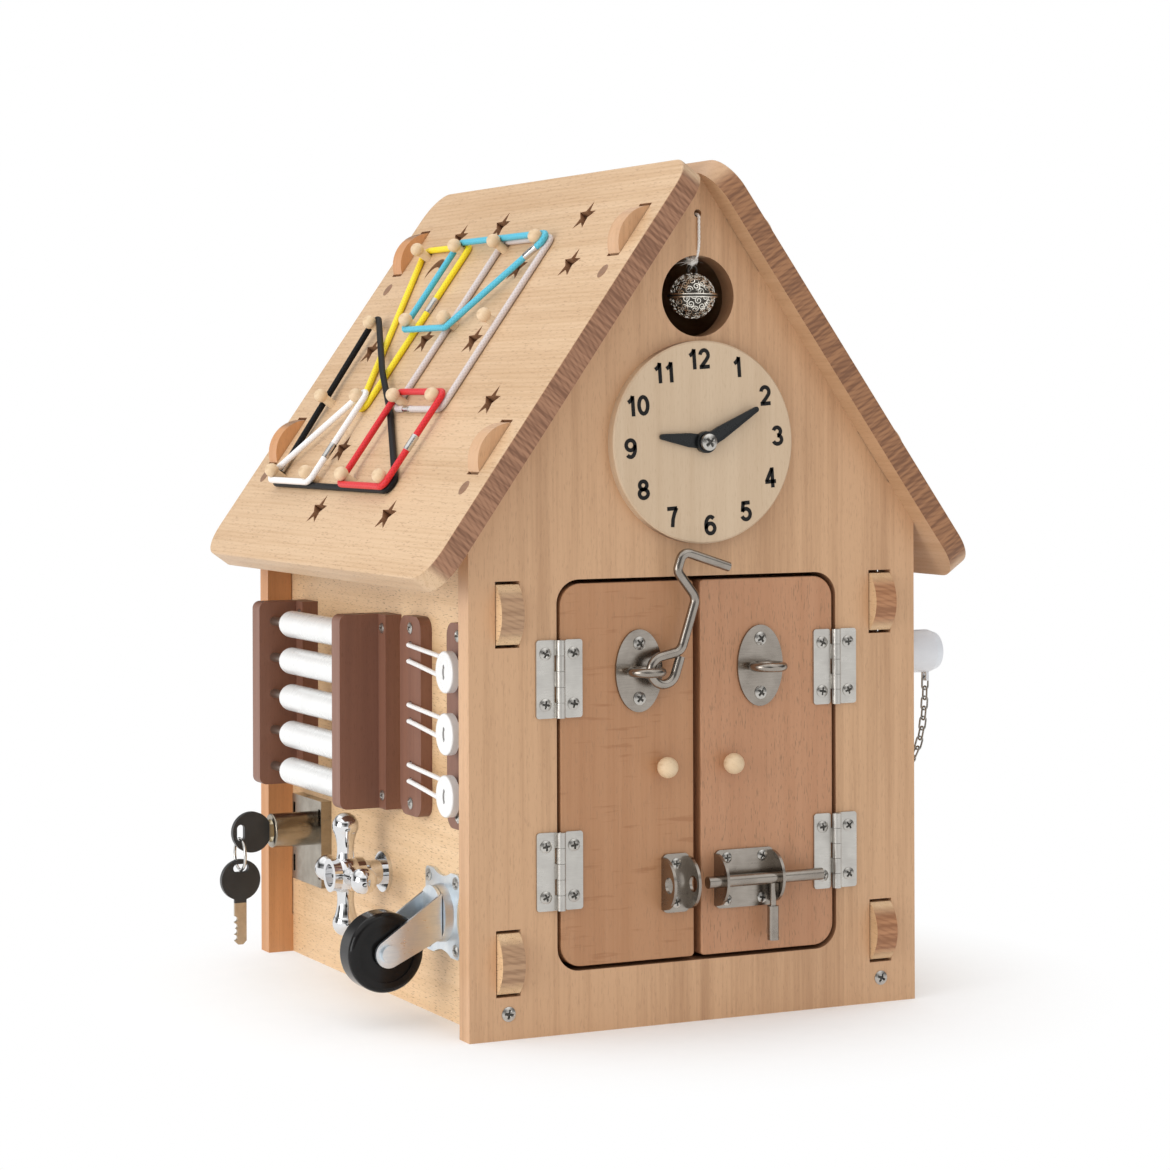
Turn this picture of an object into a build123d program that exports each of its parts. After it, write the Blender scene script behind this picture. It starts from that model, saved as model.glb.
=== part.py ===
import math
import os

from build123d import *

os.makedirs("parts", exist_ok=True)

# Busy house, in millimetres. X is to the right of the front wall, Y to the back, Z up.
# The origin is the middle of the front wall's foot. All sizes come first, piece by piece.

# Shared sizes
board = 12.0
overrun = 1.0
running_gap = 0.05
soft_gap = 0.3
slot_gap = 0.5
slot_end_gap = 1.6

# House walls
house_width = 250.0
house_depth = 288.0
eave_height = 244.6
roof_pitch = 54.6
side_inset = 14.5
side_top_gap = 7.0
floor_height = 7.0
tab_length = 29.0
tab_bulge = 7.0
lower_tenon_height = 36.8
upper_tenon_drop = 39.9
upper_tab_slope = 43.5
lower_tab_slope = 174.2

# Roof panels
roof_length = 250.0
roof_overhang = 14.0
roof_corner = 18.0
roof_edge = 1.0
right_ridge_rise = 0.4
ridge_gap = 0.1
star_radius = 9.6
star_inner_radius = 4.1
star_turn = 36
star_slope_shares = [0.123, 0.124, 0.248, 0.433, 0.427, 0.588, 0.714, 0.868, 0.867, 0.245, 0.451, 0.143]
star_depth_shares = [0.607, 0.245, 0.178, 0.387, 0.614, 0.141, 0.671, 0.595, 0.267, 0.398, 0.852, 0.780]
moon_slope_share = 0.236
moon_depth_share = 0.794
moon_radius = 9.0
moon_bite_radius = 7.6
moon_bite_shift = 4.2

# Pegs and elastic bands on the left roof panel
peg_rows = 4
peg_columns = 4
peg_row_pitch = 50.2
peg_column_pitch = 51.9
first_peg_slope = 48.6
rear_peg_back = 37.9
peg_radius = 2.5
peg_rise = 5.7
peg_seat = 8.0
peg_head_radius = 3.8
band_radius = 1.3
band_step = 2.9

# Door opening and doors
opening_width = 156.7
opening_foot = 30.3
opening_height = 190.4
opening_corner = 12.0
door_gap = 2.0
door_split = -1.2
door_split_gap = 4.0
door_edge_corner = 2.0
door_edge = 0.8
knob_height = 127.2
left_knob_place = 20.7
right_knob_place = 16.4
knob_radius = 5.2
knob_neck_radius = 2.6
knob_reach = 5.8

# Butt hinges
hinge_height = 38.0
lower_hinge_height = 79.6
upper_hinge_height = 172.8
leaf_width = 12.4
leaf_thickness = 1.2
leaf_corner = 1.5
knuckle_count = 5
knuckle_radius = 2.3
knuckle_gap = 0.2
hinge_pin_radius = 1.2
leaf_clearance = 0.4

# Cabin hook and its two eyes
eye_place = 34.0
eye_height = 175.0
eye_plate_width = 25.6
eye_plate_height = 40.6
eye_plate_thickness = 1.5
eye_ring_radius = 7.4
eye_wire_radius = 2.3
eye_reach = 9.4
hook_wire_radius = 2.4
hook_loop_radius = 6.9
hook_tail = 9.0
hook_neck_angle = 30.0
hook_run_drop = 6.4
hook_run_end = 39.0
hook_hump_start = 48.5
hook_hump_rise = 7.6
hook_leg_place = 58.6
hook_leg_drop = 19.5
hook_bend = 4.2
hook_neck_bend = 6.0
hook_raise = 72.0
hook_slack_along = 1.0
hook_slack_down = 1.6

# Barrel bolt and keeper
bolt_height = 69.5
bolt_rod_radius = 3.0
bolt_rod_reach = 8.2
bolt_plate_height = 29.0
bolt_plate_thickness = 1.5
bolt_plate_corner = 3.0
bolt_body_start = 8.0
bolt_body_length = 33.0
keeper_start = -21.5
keeper_length = 15.0
ear_radius = 13.0
ear_reach = 14.2
keeper_hole_gap = 1.0
bolt_travel = 24.0
bolt_rod_overhang = 2.5
bolt_handle_place = 13.0
bolt_neck_radius = 1.6
bolt_neck_length = 11.0
bolt_grip_radius = 2.9
bolt_grip_length = 17.0

# Clock
clock_drop = 133.5
clock_radius = 50.2
clock_thickness = 6.0
clock_edge = 0.8
hand_thickness = 1.2
hand_gap = 0.4
hand_hub_radius = 5.4
hand_tip_width = 1.4
hand_shoulder = 9.0
hand_shoulder_width = 7.0
hour_length = 25.0
minute_length = 33.0
hour_angle = 173.5
minute_angle = 30.0
clock_pin_radius = 2.0
clock_head_radius = 4.2
clock_head_height = 1.9

# Bell in the gable
bell_hole_drop = 61.1
bell_hole_radius = 20.2
string_hole_drop = 20.1
string_hole_radius = 2.0
bell_radius = 11.0
bell_flange_radius = 12.5
bell_flange_height = 1.6
bell_rise = 0.2
bell_depth = 6.0
bell_bail_radius = 2.4
bell_bail_wire = 0.6
cord_radius = 0.8
cord_wall_gap = 0.4
cord_edge_drop = 1.6
cord_bend = 1.6

# Roller rack on the left wall
rack_reach = 30.5
rack_foot_share = 0.4006541
rack_height = 100.0
rack_board = 11.0
rack_corner = 4.0
rear_rack_back = 42.0
middle_rack_depth = 127.0
rack_foot_width = 9.5
rack_foot_thickness = 9.0
roller_count = 5
roller_pitch = 19.8
first_roller_rise = 10.2
rod_reach = 22.0
rod_radius = 2.4
roller_radius = 7.2
roller_play = 21.0
rod_seat = 7.0

# Button strips on the left wall
strip_width = 27.0
strip_thickness = 6.2
strip_foot = 98.0
strip_height = 101.0
strip_corner = 7.0
loop_strip_depth = 91.5
button_strip_depth = 31.8
button_count = 3
button_pitch = 30.3
first_button_height = 114.8
button_radius = 10.3
button_thickness = 4.2
button_edge = 0.8
button_shank_radius = 3.0
button_shank = 3.4
button_hole_radius = 1.1
button_hole_spread = 2.6
loop_radius = 1.2
loop_hole_gap = 0.6
loop_hole_low = 0.8
loop_hole_pitch = 8.4
loop_bend = 2.4
loop_spread = 5.2

# Cylinder lock and keys on the left wall
lock_back = 54.0
lock_rack_drop = 23.7
case_width = 44.0
case_height = 47.0
case_lock_drop = 30.8
case_thickness = 6.0
case_lip = 5.0
case_slot_width = 3.0
case_slot_height = 9.0
cylinder_radius = 9.2
cylinder_length = 23.0
core_radius = 6.2
core_recess = 1.0
core_length = 18.0
key_blade_width = 6.6
key_blade_thickness = 2.0
key_blade_length = 27.0
key_bow_radius = 11.0
key_bow_thickness = 3.2
key_bow_reach = 12.0
key_hole_place = 6.4
key_hole_radius = 2.2
key_fit = 0.1
key_tip = 2.0
key_notch_radius = 1.5
key_notch_shares = [0.42, 0.58, 0.70, 0.84]
key_ring_radius = 8.4
key_ring_wire = 0.8
spare_key_blade_length = 35.0
spare_key_lean = 4.0

# Tap on the left wall
tap_depth = 141.0
tap_rack_gap = 3.3
tap_base_radius = 10.5
tap_base_thickness = 2.0
tap_stem_radius = 4.0
tap_shoulder_radius = 6.5
tap_shoulder_length = 8.0
tap_hub_reach = 22.0
tap_hub_radius = 8.6
tap_hub_half_length = 9.0
tap_hub_recess = 4.0
tap_hub_recess_radius = 5.8
tap_arm_count = 4
tap_arm_reach = 25.1
tap_arm_root_radius = 8.2
tap_arm_waist_radius = 4.4
tap_arm_waist_place = 14.0
tap_arm_end_radius = 6.9
tap_hub_ball_radius = 9.8

# Caster on the left wall
caster_depth = 62.0
caster_height = 53.0
caster_plate_half = 21.0
caster_plate_scallop = 23.0
caster_plate_thickness = 1.8
caster_plate_corner = 3.0
caster_race_radius = 15.0
caster_race_height = 4.2
caster_race_taper = 10.0
caster_pin_radius = 3.0
caster_pin_head_radius = 5.0
caster_pin_head_height = 1.6
fork_base_radius = 14.0
fork_wall = 1.8
fork_gap = 0.4
fork_leg_width = 22.0
fork_toe_radius = 7.0
wheel_radius = 19.8
wheel_width = 16.0
wheel_edge = 3.0
wheel_side_gap = 0.6
wheel_reach = 34.5
wheel_trail = 16.5
axle_radius = 2.4
axle_head_radius = 4.4
axle_head_height = 2.0
wheel_dish_radius = 14.5
wheel_dish_depth = 1.2

# Plug and chain on the right wall
plug_depth = 30.0
plug_eave_drop = 69.0
plug_radius = 11.2
plug_end_radius = 9.6
plug_reach = 45.5
plug_cap_length = 4.5
plug_spigot_radius = 8.0
plug_travel = 11.0
lug_width = 5.0
lug_drop = 4.4
lug_thickness = 1.6
lug_hole_radius = 1.5
link_length = 8.0
link_width = 4.6
link_wire = 1.0
link_slack = 0.7
link_count = 14
eye_drop = 50.0
chain_eye_angle = 42.0
chain_pull_share = 0.8
bow_steps = 60
wall_eye_reach = 5.0
wall_eye_radius = 2.9
wall_eye_wire = 0.7
wall_eye_shank = 6.0

# Sizes that follow from those above
half_width = house_width / 2
pitch_rad = math.radians(roof_pitch)
slope_x = math.cos(pitch_rad)
slope_z = math.sin(pitch_rad)
apex_height = eave_height + half_width * math.tan(pitch_rad)
side_face = half_width - side_inset
side_height = eave_height + side_inset * math.tan(pitch_rad) - side_top_gap
upper_tenon_height = eave_height - upper_tenon_drop
clock_height = apex_height - clock_drop
bell_hole_height = apex_height - bell_hole_drop
string_hole_height = apex_height - string_hole_drop
bell_height = bell_hole_height + bell_rise
rear_rack_depth = house_depth - rear_rack_back
lock_depth = house_depth - lock_back

# The rack hangs under the eave, with the tap and the lock below it. So does the plug on the other wall.
rack_foot_height = rack_foot_share * eave_height
first_roller_height = rack_foot_height + first_roller_rise
tap_height = rack_foot_height - tap_rack_gap - tap_arm_end_radius - tap_arm_reach
lock_height = rack_foot_height - lock_rack_drop
case_foot = lock_height - case_lock_drop
plug_height = eave_height - plug_eave_drop

# Joints between the boards, and the hinge line
side_middle = side_face - board / 2
back_inner = house_depth - board
slot_width = board + 2 * slot_gap
slot_length = tab_length + 2 * slot_end_gap
tab_arc = (tab_length ** 2 / 4 + tab_bulge ** 2) / (2 * tab_bulge)
hinge_place = opening_width / 2 - door_gap / 2
hinge_out = knuckle_radius + knuckle_gap
door_foot = opening_foot + door_gap
door_height = opening_height - 2 * door_gap
door_top = door_foot + door_height

front = Plane.XZ
left = Plane(origin=(-side_face, 0, 0), x_dir=(0, -1, 0), z_dir=(-1, 0, 0))
right = Plane(origin=(side_face, 0, 0), x_dir=(0, 1, 0), z_dir=(1, 0, 0))
roof_out = (-slope_z, 0, slope_x)
left_ridge = (-board * slope_z, 0, apex_height + board * slope_x)
right_ridge = (board * slope_z, 0, apex_height + board * slope_x)
left_roof_plane = Plane(origin=left_ridge, x_dir=(-slope_x, 0, -slope_z), z_dir=roof_out)
right_roof_plane = Plane(origin=right_ridge, x_dir=(slope_x, 0, -slope_z), z_dir=(slope_z, 0, slope_x))


def save(piece, name):
    # Pieces are drawn from the front wall's face and kept with the origin in the middle of its foot.
    solid = Location((0, -board / 2, 0)) * piece.part
    solid.label = name
    export_step(solid, f"parts/{name}.step")


def on_left(depth, height):
    # A place on the left wall's outer face, from its depth behind the front and its height.
    return (-depth, height)


# A tab or tenon end: a board's thickness deep, then a bulged end past the board's far face.
with BuildSketch() as tab_shape:
    Rectangle(tab_length, board + tab_bulge, align=(Align.CENTER, Align.MIN))
    with Locations((0, board + tab_bulge - tab_arc)):
        Circle(tab_arc, mode=Mode.INTERSECT)

tab_places = []
for side in (-1, 1):
    for slope in (upper_tab_slope, lower_tab_slope):
        tab_x = side * slope * slope_x
        tab_z = apex_height - slope * slope_z
        tab_places.append(Location((tab_x, tab_z, 0), (0, 0, -side * roof_pitch)))

tenon_places = []
for side in (-1, 1):
    for height in (lower_tenon_height, upper_tenon_height):
        tenon_places.append((side * side_middle, height))

# The gable outline with its roof tabs, shared by the front and back walls.
with BuildSketch() as gable_shape:
    with BuildLine():
        Polyline(
            (-half_width, 0), (half_width, 0), (half_width, eave_height),
            (0, apex_height), (-half_width, eave_height), close=True,
        )
    make_face()
    with Locations(*tab_places):
        add(tab_shape.sketch)
    with Locations(*tenon_places):
        Rectangle(slot_width, slot_length, mode=Mode.SUBTRACT)

with BuildPart() as front_wall:
    with BuildSketch(front):
        add(gable_shape.sketch)
        with Locations((0, opening_foot + opening_height / 2)):
            RectangleRounded(opening_width, opening_height, opening_corner, mode=Mode.SUBTRACT)
        with Locations((0, bell_hole_height)):
            Circle(bell_hole_radius, mode=Mode.SUBTRACT)
        with Locations((0, string_hole_height)):
            Circle(string_hole_radius, mode=Mode.SUBTRACT)
    extrude(amount=-board)
save(front_wall, "front_wall")

with BuildPart() as back_wall:
    with BuildSketch(front.offset(-back_inner)):
        add(gable_shape.sketch)
    extrude(amount=-board)
save(back_wall, "back_wall")

# Side walls stand between the front and back walls, with tenons through their slots.
front_tenons = []
back_tenons = []
for height in (lower_tenon_height, upper_tenon_height):
    front_tenons.append(Location((-board, height, 0), (0, 0, -90)))
    back_tenons.append(Location((-back_inner, height, 0), (0, 0, 90)))

with BuildSketch() as side_shape:
    with Locations((-house_depth / 2, 0)):
        Rectangle(back_inner - board, side_height, align=(Align.CENTER, Align.MIN))
    with Locations(*front_tenons, *back_tenons):
        add(tab_shape.sketch)

with BuildPart() as left_wall:
    with BuildSketch(left):
        add(side_shape.sketch)
    extrude(amount=-board)
save(left_wall, "left_wall")

with BuildPart() as right_wall:
    with BuildSketch(left.offset(-2 * side_face + board)):
        add(side_shape.sketch)
    extrude(amount=-board)
    with BuildSketch(right):
        with Locations((plug_depth, plug_height)):
            Circle(plug_spigot_radius + running_gap)
    extrude(amount=-board, mode=Mode.SUBTRACT)
    with BuildSketch(right):
        with Locations((plug_depth, plug_height - eye_drop)):
            Circle(wall_eye_wire + running_gap)
    extrude(amount=-wall_eye_shank, mode=Mode.SUBTRACT)
save(right_wall, "right_wall")

with BuildPart() as floor_board:
    with Locations((0, house_depth / 2, floor_height)):
        floor_width = 2 * (side_face - board)
        Box(floor_width, back_inner - board, board, align=(Align.CENTER, Align.CENTER, Align.MIN))
save(floor_board, "floor_board")

# Roof panels, square cut at the ridge, so that they leave a groove along it.
roof_depth = house_depth + 2 * roof_overhang
peg_places = []
for row in range(peg_rows):
    for column in range(peg_columns):
        peg_slope = first_peg_slope + row * peg_row_pitch
        peg_depth = house_depth - rear_peg_back - column * peg_column_pitch
        peg_places.append((peg_slope, -peg_depth))

star_places = []
for slope_share, depth_share in zip(star_slope_shares, star_depth_shares):
    star_places.append(Location((slope_share * roof_length, -depth_share * house_depth, 0), (0, 0, star_turn)))
star_points = []
for step in range(10):
    reach = star_radius if step % 2 == 0 else star_inner_radius
    star_points.append((reach * math.cos(math.pi * step / 5), reach * math.sin(math.pi * step / 5)))
moon_place = (moon_slope_share * roof_length, -moon_depth_share * house_depth)

with BuildSketch() as star_shape:
    with BuildLine():
        Polyline(*star_points, close=True)
    make_face()

with BuildSketch() as moon_shape:
    Circle(moon_radius)
    with Locations((moon_bite_shift, 0)):
        Circle(moon_bite_radius, mode=Mode.SUBTRACT)

with BuildPart() as left_roof:
    with BuildSketch(left_roof_plane) as left_panel:
        with Locations((ridge_gap, -house_depth / 2)):
            Rectangle(roof_length - ridge_gap, roof_depth, align=(Align.MIN, Align.CENTER))
        fillet(left_panel.vertices(), roof_corner)
    extrude(amount=-board)
    top_face = left_roof.faces().sort_by(Axis(left_ridge, roof_out))[-1]
    fillet(top_face.edges(), roof_edge)
    with BuildSketch(left_roof_plane):
        for slope in (upper_tab_slope, lower_tab_slope):
            with Locations((slope, -board / 2), (slope, -house_depth + board / 2)):
                Rectangle(slot_length, slot_width)
        with Locations(*star_places):
            add(star_shape.sketch)
        with Locations(moon_place):
            add(moon_shape.sketch)
    extrude(amount=-board, mode=Mode.SUBTRACT)
    with BuildSketch(left_roof_plane):
        with Locations(*peg_places):
            Circle(peg_radius + running_gap)
    extrude(amount=-peg_seat, mode=Mode.SUBTRACT)
save(left_roof, "left_roof")

with BuildPart() as right_roof:
    with BuildSketch(right_roof_plane) as right_panel:
        with Locations((-right_ridge_rise, house_depth / 2)):
            Rectangle(roof_length + right_ridge_rise, roof_depth, align=(Align.MIN, Align.CENTER))
        fillet(right_panel.vertices(), roof_corner)
    extrude(amount=-board)
    top_face = right_roof.faces().sort_by(Axis(right_ridge, (slope_z, 0, slope_x)))[-1]
    fillet(top_face.edges(), roof_edge)
    with BuildSketch(right_roof_plane):
        for slope in (upper_tab_slope, lower_tab_slope):
            with Locations((slope, board / 2), (slope, house_depth - board / 2)):
                Rectangle(slot_length, slot_width)
    extrude(amount=-board, mode=Mode.SUBTRACT)
save(right_roof, "right_roof")

# Pegs with ball heads, seated in the left roof panel.
peg_head_lift = peg_rise + math.sqrt(peg_head_radius ** 2 - peg_radius ** 2)
with BuildPart() as roof_pegs:
    with BuildSketch(left_roof_plane.offset(-peg_seat)):
        with Locations(*peg_places):
            Circle(peg_radius)
    extrude(amount=peg_seat + peg_rise + peg_radius)
    with Locations(*[left_roof_plane * Location((slope, depth, peg_head_lift)) for slope, depth in peg_places]):
        Sphere(peg_head_radius)
save(roof_pegs, "roof_pegs")

# Each band goes round the outside of its pegs, at its own height on them. One that is
# as high as the heads goes round those.
band_reach = peg_radius + band_radius + soft_gap
head_reach = peg_head_radius + band_radius + soft_gap
band_routes = (
    {"blue_band": "A2 A4 B3 B2", "red_band": "C3 C4 D4 D3", "white_band": "C2 D2 D1"},
    {"yellow_band": "A1 A2 C2", "pink_band": "A3 A4 C4 C3"},
    {"black_band": "B1 D4 D1"},
)
band_list = []
for level, routes in enumerate(band_routes):
    for band_name, route in routes.items():
        pegs = ["ABCD".index(peg[0]) * peg_columns + int(peg[1]) - 1 for peg in route.split()]
        band_list.append((band_name, level, pegs))
for band_name, level, pegs in band_list:
    band_lift = band_radius + soft_gap + level * band_step
    band_plane = left_roof_plane.offset(band_lift)
    head_drop = min(abs(peg_head_lift - band_lift), head_reach)
    band_turn = max(band_reach, math.sqrt(head_reach ** 2 - head_drop ** 2))
    corners = [peg_places[peg] for peg in pegs]
    with BuildPart() as band:
        with BuildLine(band_plane) as band_path:
            Polyline(*corners, close=True)
            offset(amount=band_turn, kind=Kind.ARC, mode=Mode.REPLACE)
        with BuildSketch(Plane(origin=band_path.line @ 0, z_dir=band_path.line % 0)):
            Circle(band_radius)
        sweep(path=band_path.line)
    save(band, band_name)

# Doors: each has its round corners on the hinge side.
door_wide = hinge_place - door_gap / 2
left_door_edge = door_split - door_split_gap / 2
right_door_edge = door_split + door_split_gap / 2
door_corner = opening_corner - door_gap / 2
for side, edge, door_name in ((-1, left_door_edge, "left_door"), (1, right_door_edge, "right_door")):
    with BuildPart() as door:
        with BuildSketch(front):
            outer = side * door_wide
            with Locations(((outer + edge) / 2, door_foot + door_height / 2)):
                Rectangle(abs(outer - edge), door_height)
        extrude(amount=-board)
        corner_edges = door.edges().filter_by(Axis.Y).sort_by(Axis.X)
        near, far = (corner_edges[:2], corner_edges[2:]) if side < 0 else (corner_edges[2:], corner_edges[:2])
        fillet(near, door_corner)
        fillet(far, door_edge_corner)
        fillet(door.faces().sort_by(Axis.Y)[0].edges(), door_edge)
    save(door, door_name)

# Round knobs, turned in one piece with a short neck.
for place, knob_name in ((-left_knob_place, "left_knob"), (right_knob_place, "right_knob")):
    with BuildPart() as knob:
        with BuildSketch(front):
            with Locations((place, knob_height)):
                Circle(knob_neck_radius)
        extrude(amount=knob_reach)
        with Locations((place, -knob_reach, knob_height)):
            Sphere(knob_radius)
    save(knob, knob_name)

# Butt hinges: the frame leaf has the outer knuckles, the door leaf the ones between.
knuckle_length = hinge_height / knuckle_count
hinge_heights = (lower_hinge_height, upper_hinge_height)
hinge_sides = ((-1, "left_door_leaves"), (1, "right_door_leaves"))


def leaf_pair(side, outward, steps, heights):
    # One leaf of each hinge on a side: its plate, its knuckles and their bore.
    with BuildPart() as leaf:
        for middle in heights:
            foot = middle - hinge_height / 2
            axis_x = side * hinge_place
            plate_start = knuckle_radius + leaf_clearance
            plate_middle = axis_x + outward * (plate_start + leaf_width) / 2
            with BuildSketch(front):
                with Locations((plate_middle, middle)):
                    RectangleRounded(leaf_width - plate_start, hinge_height, leaf_corner)
            extrude(amount=leaf_thickness)
            for step in steps:
                start = foot + step * knuckle_length + knuckle_gap / 2
                tall = knuckle_length - knuckle_gap
                with BuildSketch(Plane.XY.offset(start)):
                    with Locations((axis_x, -hinge_out)):
                        Circle(knuckle_radius)
                    with Locations((axis_x + outward * (plate_start + leaf_corner) / 2, -leaf_thickness / 2)):
                        Rectangle(plate_start + leaf_corner, leaf_thickness)
                    with Locations((axis_x, -hinge_out)):
                        Circle(hinge_pin_radius + running_gap, mode=Mode.SUBTRACT)
                extrude(amount=tall)
    return leaf


with BuildPart() as frame_leaves:
    for side, leaf_name in hinge_sides:
        add(leaf_pair(side, side, range(0, knuckle_count, 2), hinge_heights).part)
save(frame_leaves, "frame_leaves")
for side, leaf_name in hinge_sides:
    save(leaf_pair(side, -side, range(1, knuckle_count, 2), hinge_heights), leaf_name)

with BuildPart() as hinge_pins:
    for middle in hinge_heights:
        with BuildSketch(Plane.XY.offset(middle - hinge_height / 2)):
            with Locations((-hinge_place, -hinge_out), (hinge_place, -hinge_out)):
                Circle(hinge_pin_radius)
        extrude(amount=hinge_height)
save(hinge_pins, "hinge_pins")

# The two eyes: an oval plate with a level ring standing out of it.
for place, eye_name in ((-eye_place, "hook_eye"), (eye_place, "catch_eye")):
    with BuildPart() as eye:
        with BuildSketch(front):
            with Locations((place, eye_height)):
                Ellipse(eye_plate_width / 2, eye_plate_height / 2)
        extrude(amount=eye_plate_thickness)
        with Locations((place, -eye_reach, eye_height)):
            Torus(eye_ring_radius, eye_wire_radius)
        with Locations((place, 0, eye_height)):
            behind = (Align.CENTER, Align.MIN, Align.CENTER)
            Box(eye_plate_width, eye_ring_radius, eye_plate_height, align=behind, mode=Mode.SUBTRACT)
    save(eye, eye_name)

# The hook's wire: a tail, an open loop round the left ring, a low run, a hump and the leg.
# It stands raised out of the right eye, and turned down by hook_raise it is latched.
hook_pivot_x = -eye_place + eye_ring_radius
raise_rad = math.radians(hook_raise)
hook_along = (math.cos(raise_rad), 0, math.sin(raise_rad))
hook_plane = Plane(origin=(hook_pivot_x, -eye_reach, eye_height), x_dir=hook_along, z_dir=(0, -1, 0))
hook_plane = Plane(hook_plane.from_local_coords((hook_slack_along, -hook_slack_down, 0)), hook_along, (0, -1, 0))
neck_rad = math.radians(hook_neck_angle)
neck_start = (hook_loop_radius * math.cos(neck_rad), hook_loop_radius * math.sin(neck_rad))
neck_run = (neck_start[1] + hook_run_drop) * math.tan(neck_rad)
hook_points = [
    neck_start, (neck_start[0] + neck_run, -hook_run_drop), (hook_run_end, -hook_run_drop),
    (hook_hump_start, hook_hump_rise), (hook_leg_place, hook_hump_rise), (hook_leg_place, -hook_leg_drop),
]
hook_bends = [hook_neck_bend, hook_neck_bend, hook_bend, hook_bend]
with BuildPart() as cabin_hook:
    with BuildLine(hook_plane) as hook_path:
        Line((hook_tail, -hook_loop_radius), (0, -hook_loop_radius))
        CenterArc((0, 0), hook_loop_radius, -90, -270 + hook_neck_angle)
        FilletPolyline(*hook_points, radius=hook_bends)
    hook_start = hook_path.wires()[0]
    with BuildSketch(Plane(origin=hook_start @ 0, z_dir=hook_start % 0)):
        Circle(hook_wire_radius)
    sweep(path=hook_start)
save(cabin_hook, "cabin_hook")


def eared_plate(start, long, hole_radius):
    # A plate on a door with a round ear bent out at each end, bored for the bolt rod.
    with BuildPart() as plate:
        with BuildSketch(front):
            with Locations((start + long / 2, bolt_height)):
                RectangleRounded(long, bolt_plate_height, bolt_plate_corner)
        extrude(amount=bolt_plate_thickness)
        for ear_start in (start, start + long - bolt_plate_thickness):
            with BuildSketch(Plane.YZ.offset(ear_start)):
                with Locations((ear_radius - ear_reach, bolt_height)):
                    Circle(ear_radius)
                with Locations((0, bolt_height)):
                    behind = (Align.MIN, Align.CENTER)
                    Rectangle(2 * ear_radius, 2 * ear_radius, align=behind, mode=Mode.SUBTRACT)
                with Locations((-bolt_rod_reach, bolt_height)):
                    Circle(hole_radius, mode=Mode.SUBTRACT)
            extrude(amount=bolt_plate_thickness)
    return plate


save(eared_plate(keeper_start, keeper_length, bolt_rod_radius + keeper_hole_gap), "bolt_keeper")
save(eared_plate(bolt_body_start, bolt_body_length, bolt_rod_radius + running_gap), "bolt_body")

# The rod stands drawn back by bolt_travel. Slid to the left by that, it is in the keeper.
rod_left = keeper_start - bolt_rod_overhang + bolt_travel
rod_right = bolt_body_start + bolt_body_length + bolt_travel
with BuildPart() as bolt_rod:
    with BuildSketch(Plane.YZ.offset(rod_left)):
        with Locations((-bolt_rod_reach, bolt_height)):
            Circle(bolt_rod_radius)
    extrude(amount=rod_right - rod_left)
    handle_x = bolt_handle_place + bolt_travel
    with BuildSketch(Plane.XY.offset(bolt_height)):
        with Locations((handle_x, -bolt_rod_reach)):
            Circle(bolt_neck_radius)
    extrude(amount=-bolt_rod_radius - bolt_neck_length)
    with BuildSketch(Plane.XY.offset(bolt_height - bolt_rod_radius - bolt_neck_length)):
        with Locations((handle_x, -bolt_rod_reach)):
            Circle(bolt_grip_radius)
    extrude(amount=-bolt_grip_length)
save(bolt_rod, "bolt_rod")

# Clock: a round face, two loose hands and the pin with a flat head that holds them.
with BuildPart() as clock_face:
    with BuildSketch(front):
        with Locations((0, clock_height)):
            Circle(clock_radius)
    extrude(amount=clock_thickness)
    chamfer(clock_face.faces().sort_by(Axis.Y)[0].edges(), clock_edge)
    with BuildSketch(front):
        with Locations((0, clock_height)):
            Circle(clock_pin_radius)
    extrude(amount=clock_thickness, mode=Mode.SUBTRACT)
save(clock_face, "clock_face")

hour_start = clock_thickness + hand_gap
minute_start = hour_start + hand_thickness + hand_gap
head_start = minute_start + hand_thickness + hand_gap
hands = (
    ("hour_hand", hour_length, hour_angle, hour_start),
    ("minute_hand", minute_length, minute_angle, minute_start),
)
for hand_name, hand_length, hand_angle, hand_start in hands:
    with BuildSketch() as hand_shape:
        with BuildLine():
            Polyline(
                (0, -hand_shoulder_width / 2), (hand_shoulder, -hand_shoulder_width / 2),
                (hand_length, -hand_tip_width / 2), (hand_length, hand_tip_width / 2),
                (hand_shoulder, hand_shoulder_width / 2), (0, hand_shoulder_width / 2), close=True,
            )
        make_face()
        Circle(hand_hub_radius)
        Circle(clock_pin_radius + running_gap, mode=Mode.SUBTRACT)
    with BuildPart() as hand:
        with BuildSketch(front.offset(hand_start)):
            with Locations(Location((0, clock_height, 0), (0, 0, hand_angle))):
                add(hand_shape.sketch)
        extrude(amount=hand_thickness)
    save(hand, hand_name)

with BuildPart() as clock_pin:
    with BuildSketch(front):
        with Locations((0, clock_height)):
            Circle(clock_pin_radius)
    extrude(amount=head_start)
    with BuildSketch(front.offset(head_start)):
        with Locations((0, clock_height)):
            Circle(clock_head_radius)
    extrude(amount=clock_head_height)
    fillet(clock_pin.faces().sort_by(Axis.Y)[0].edges(), clock_head_height / 2)
save(clock_pin, "clock_pin")

# Bell: a ball with a seam flange and a bail, on a cord from the small hole above.
with BuildPart() as bell_ball:
    with Locations((0, bell_depth, bell_height)):
        Sphere(bell_radius)
        Cylinder(bell_flange_radius, bell_flange_height)
    with Locations((0, bell_depth, bell_height + bell_radius + bell_bail_radius - bell_bail_wire)):
        Torus(bell_bail_radius, bell_bail_wire, rotation=(90, 0, 0))
save(bell_ball, "bell_ball")

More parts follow.
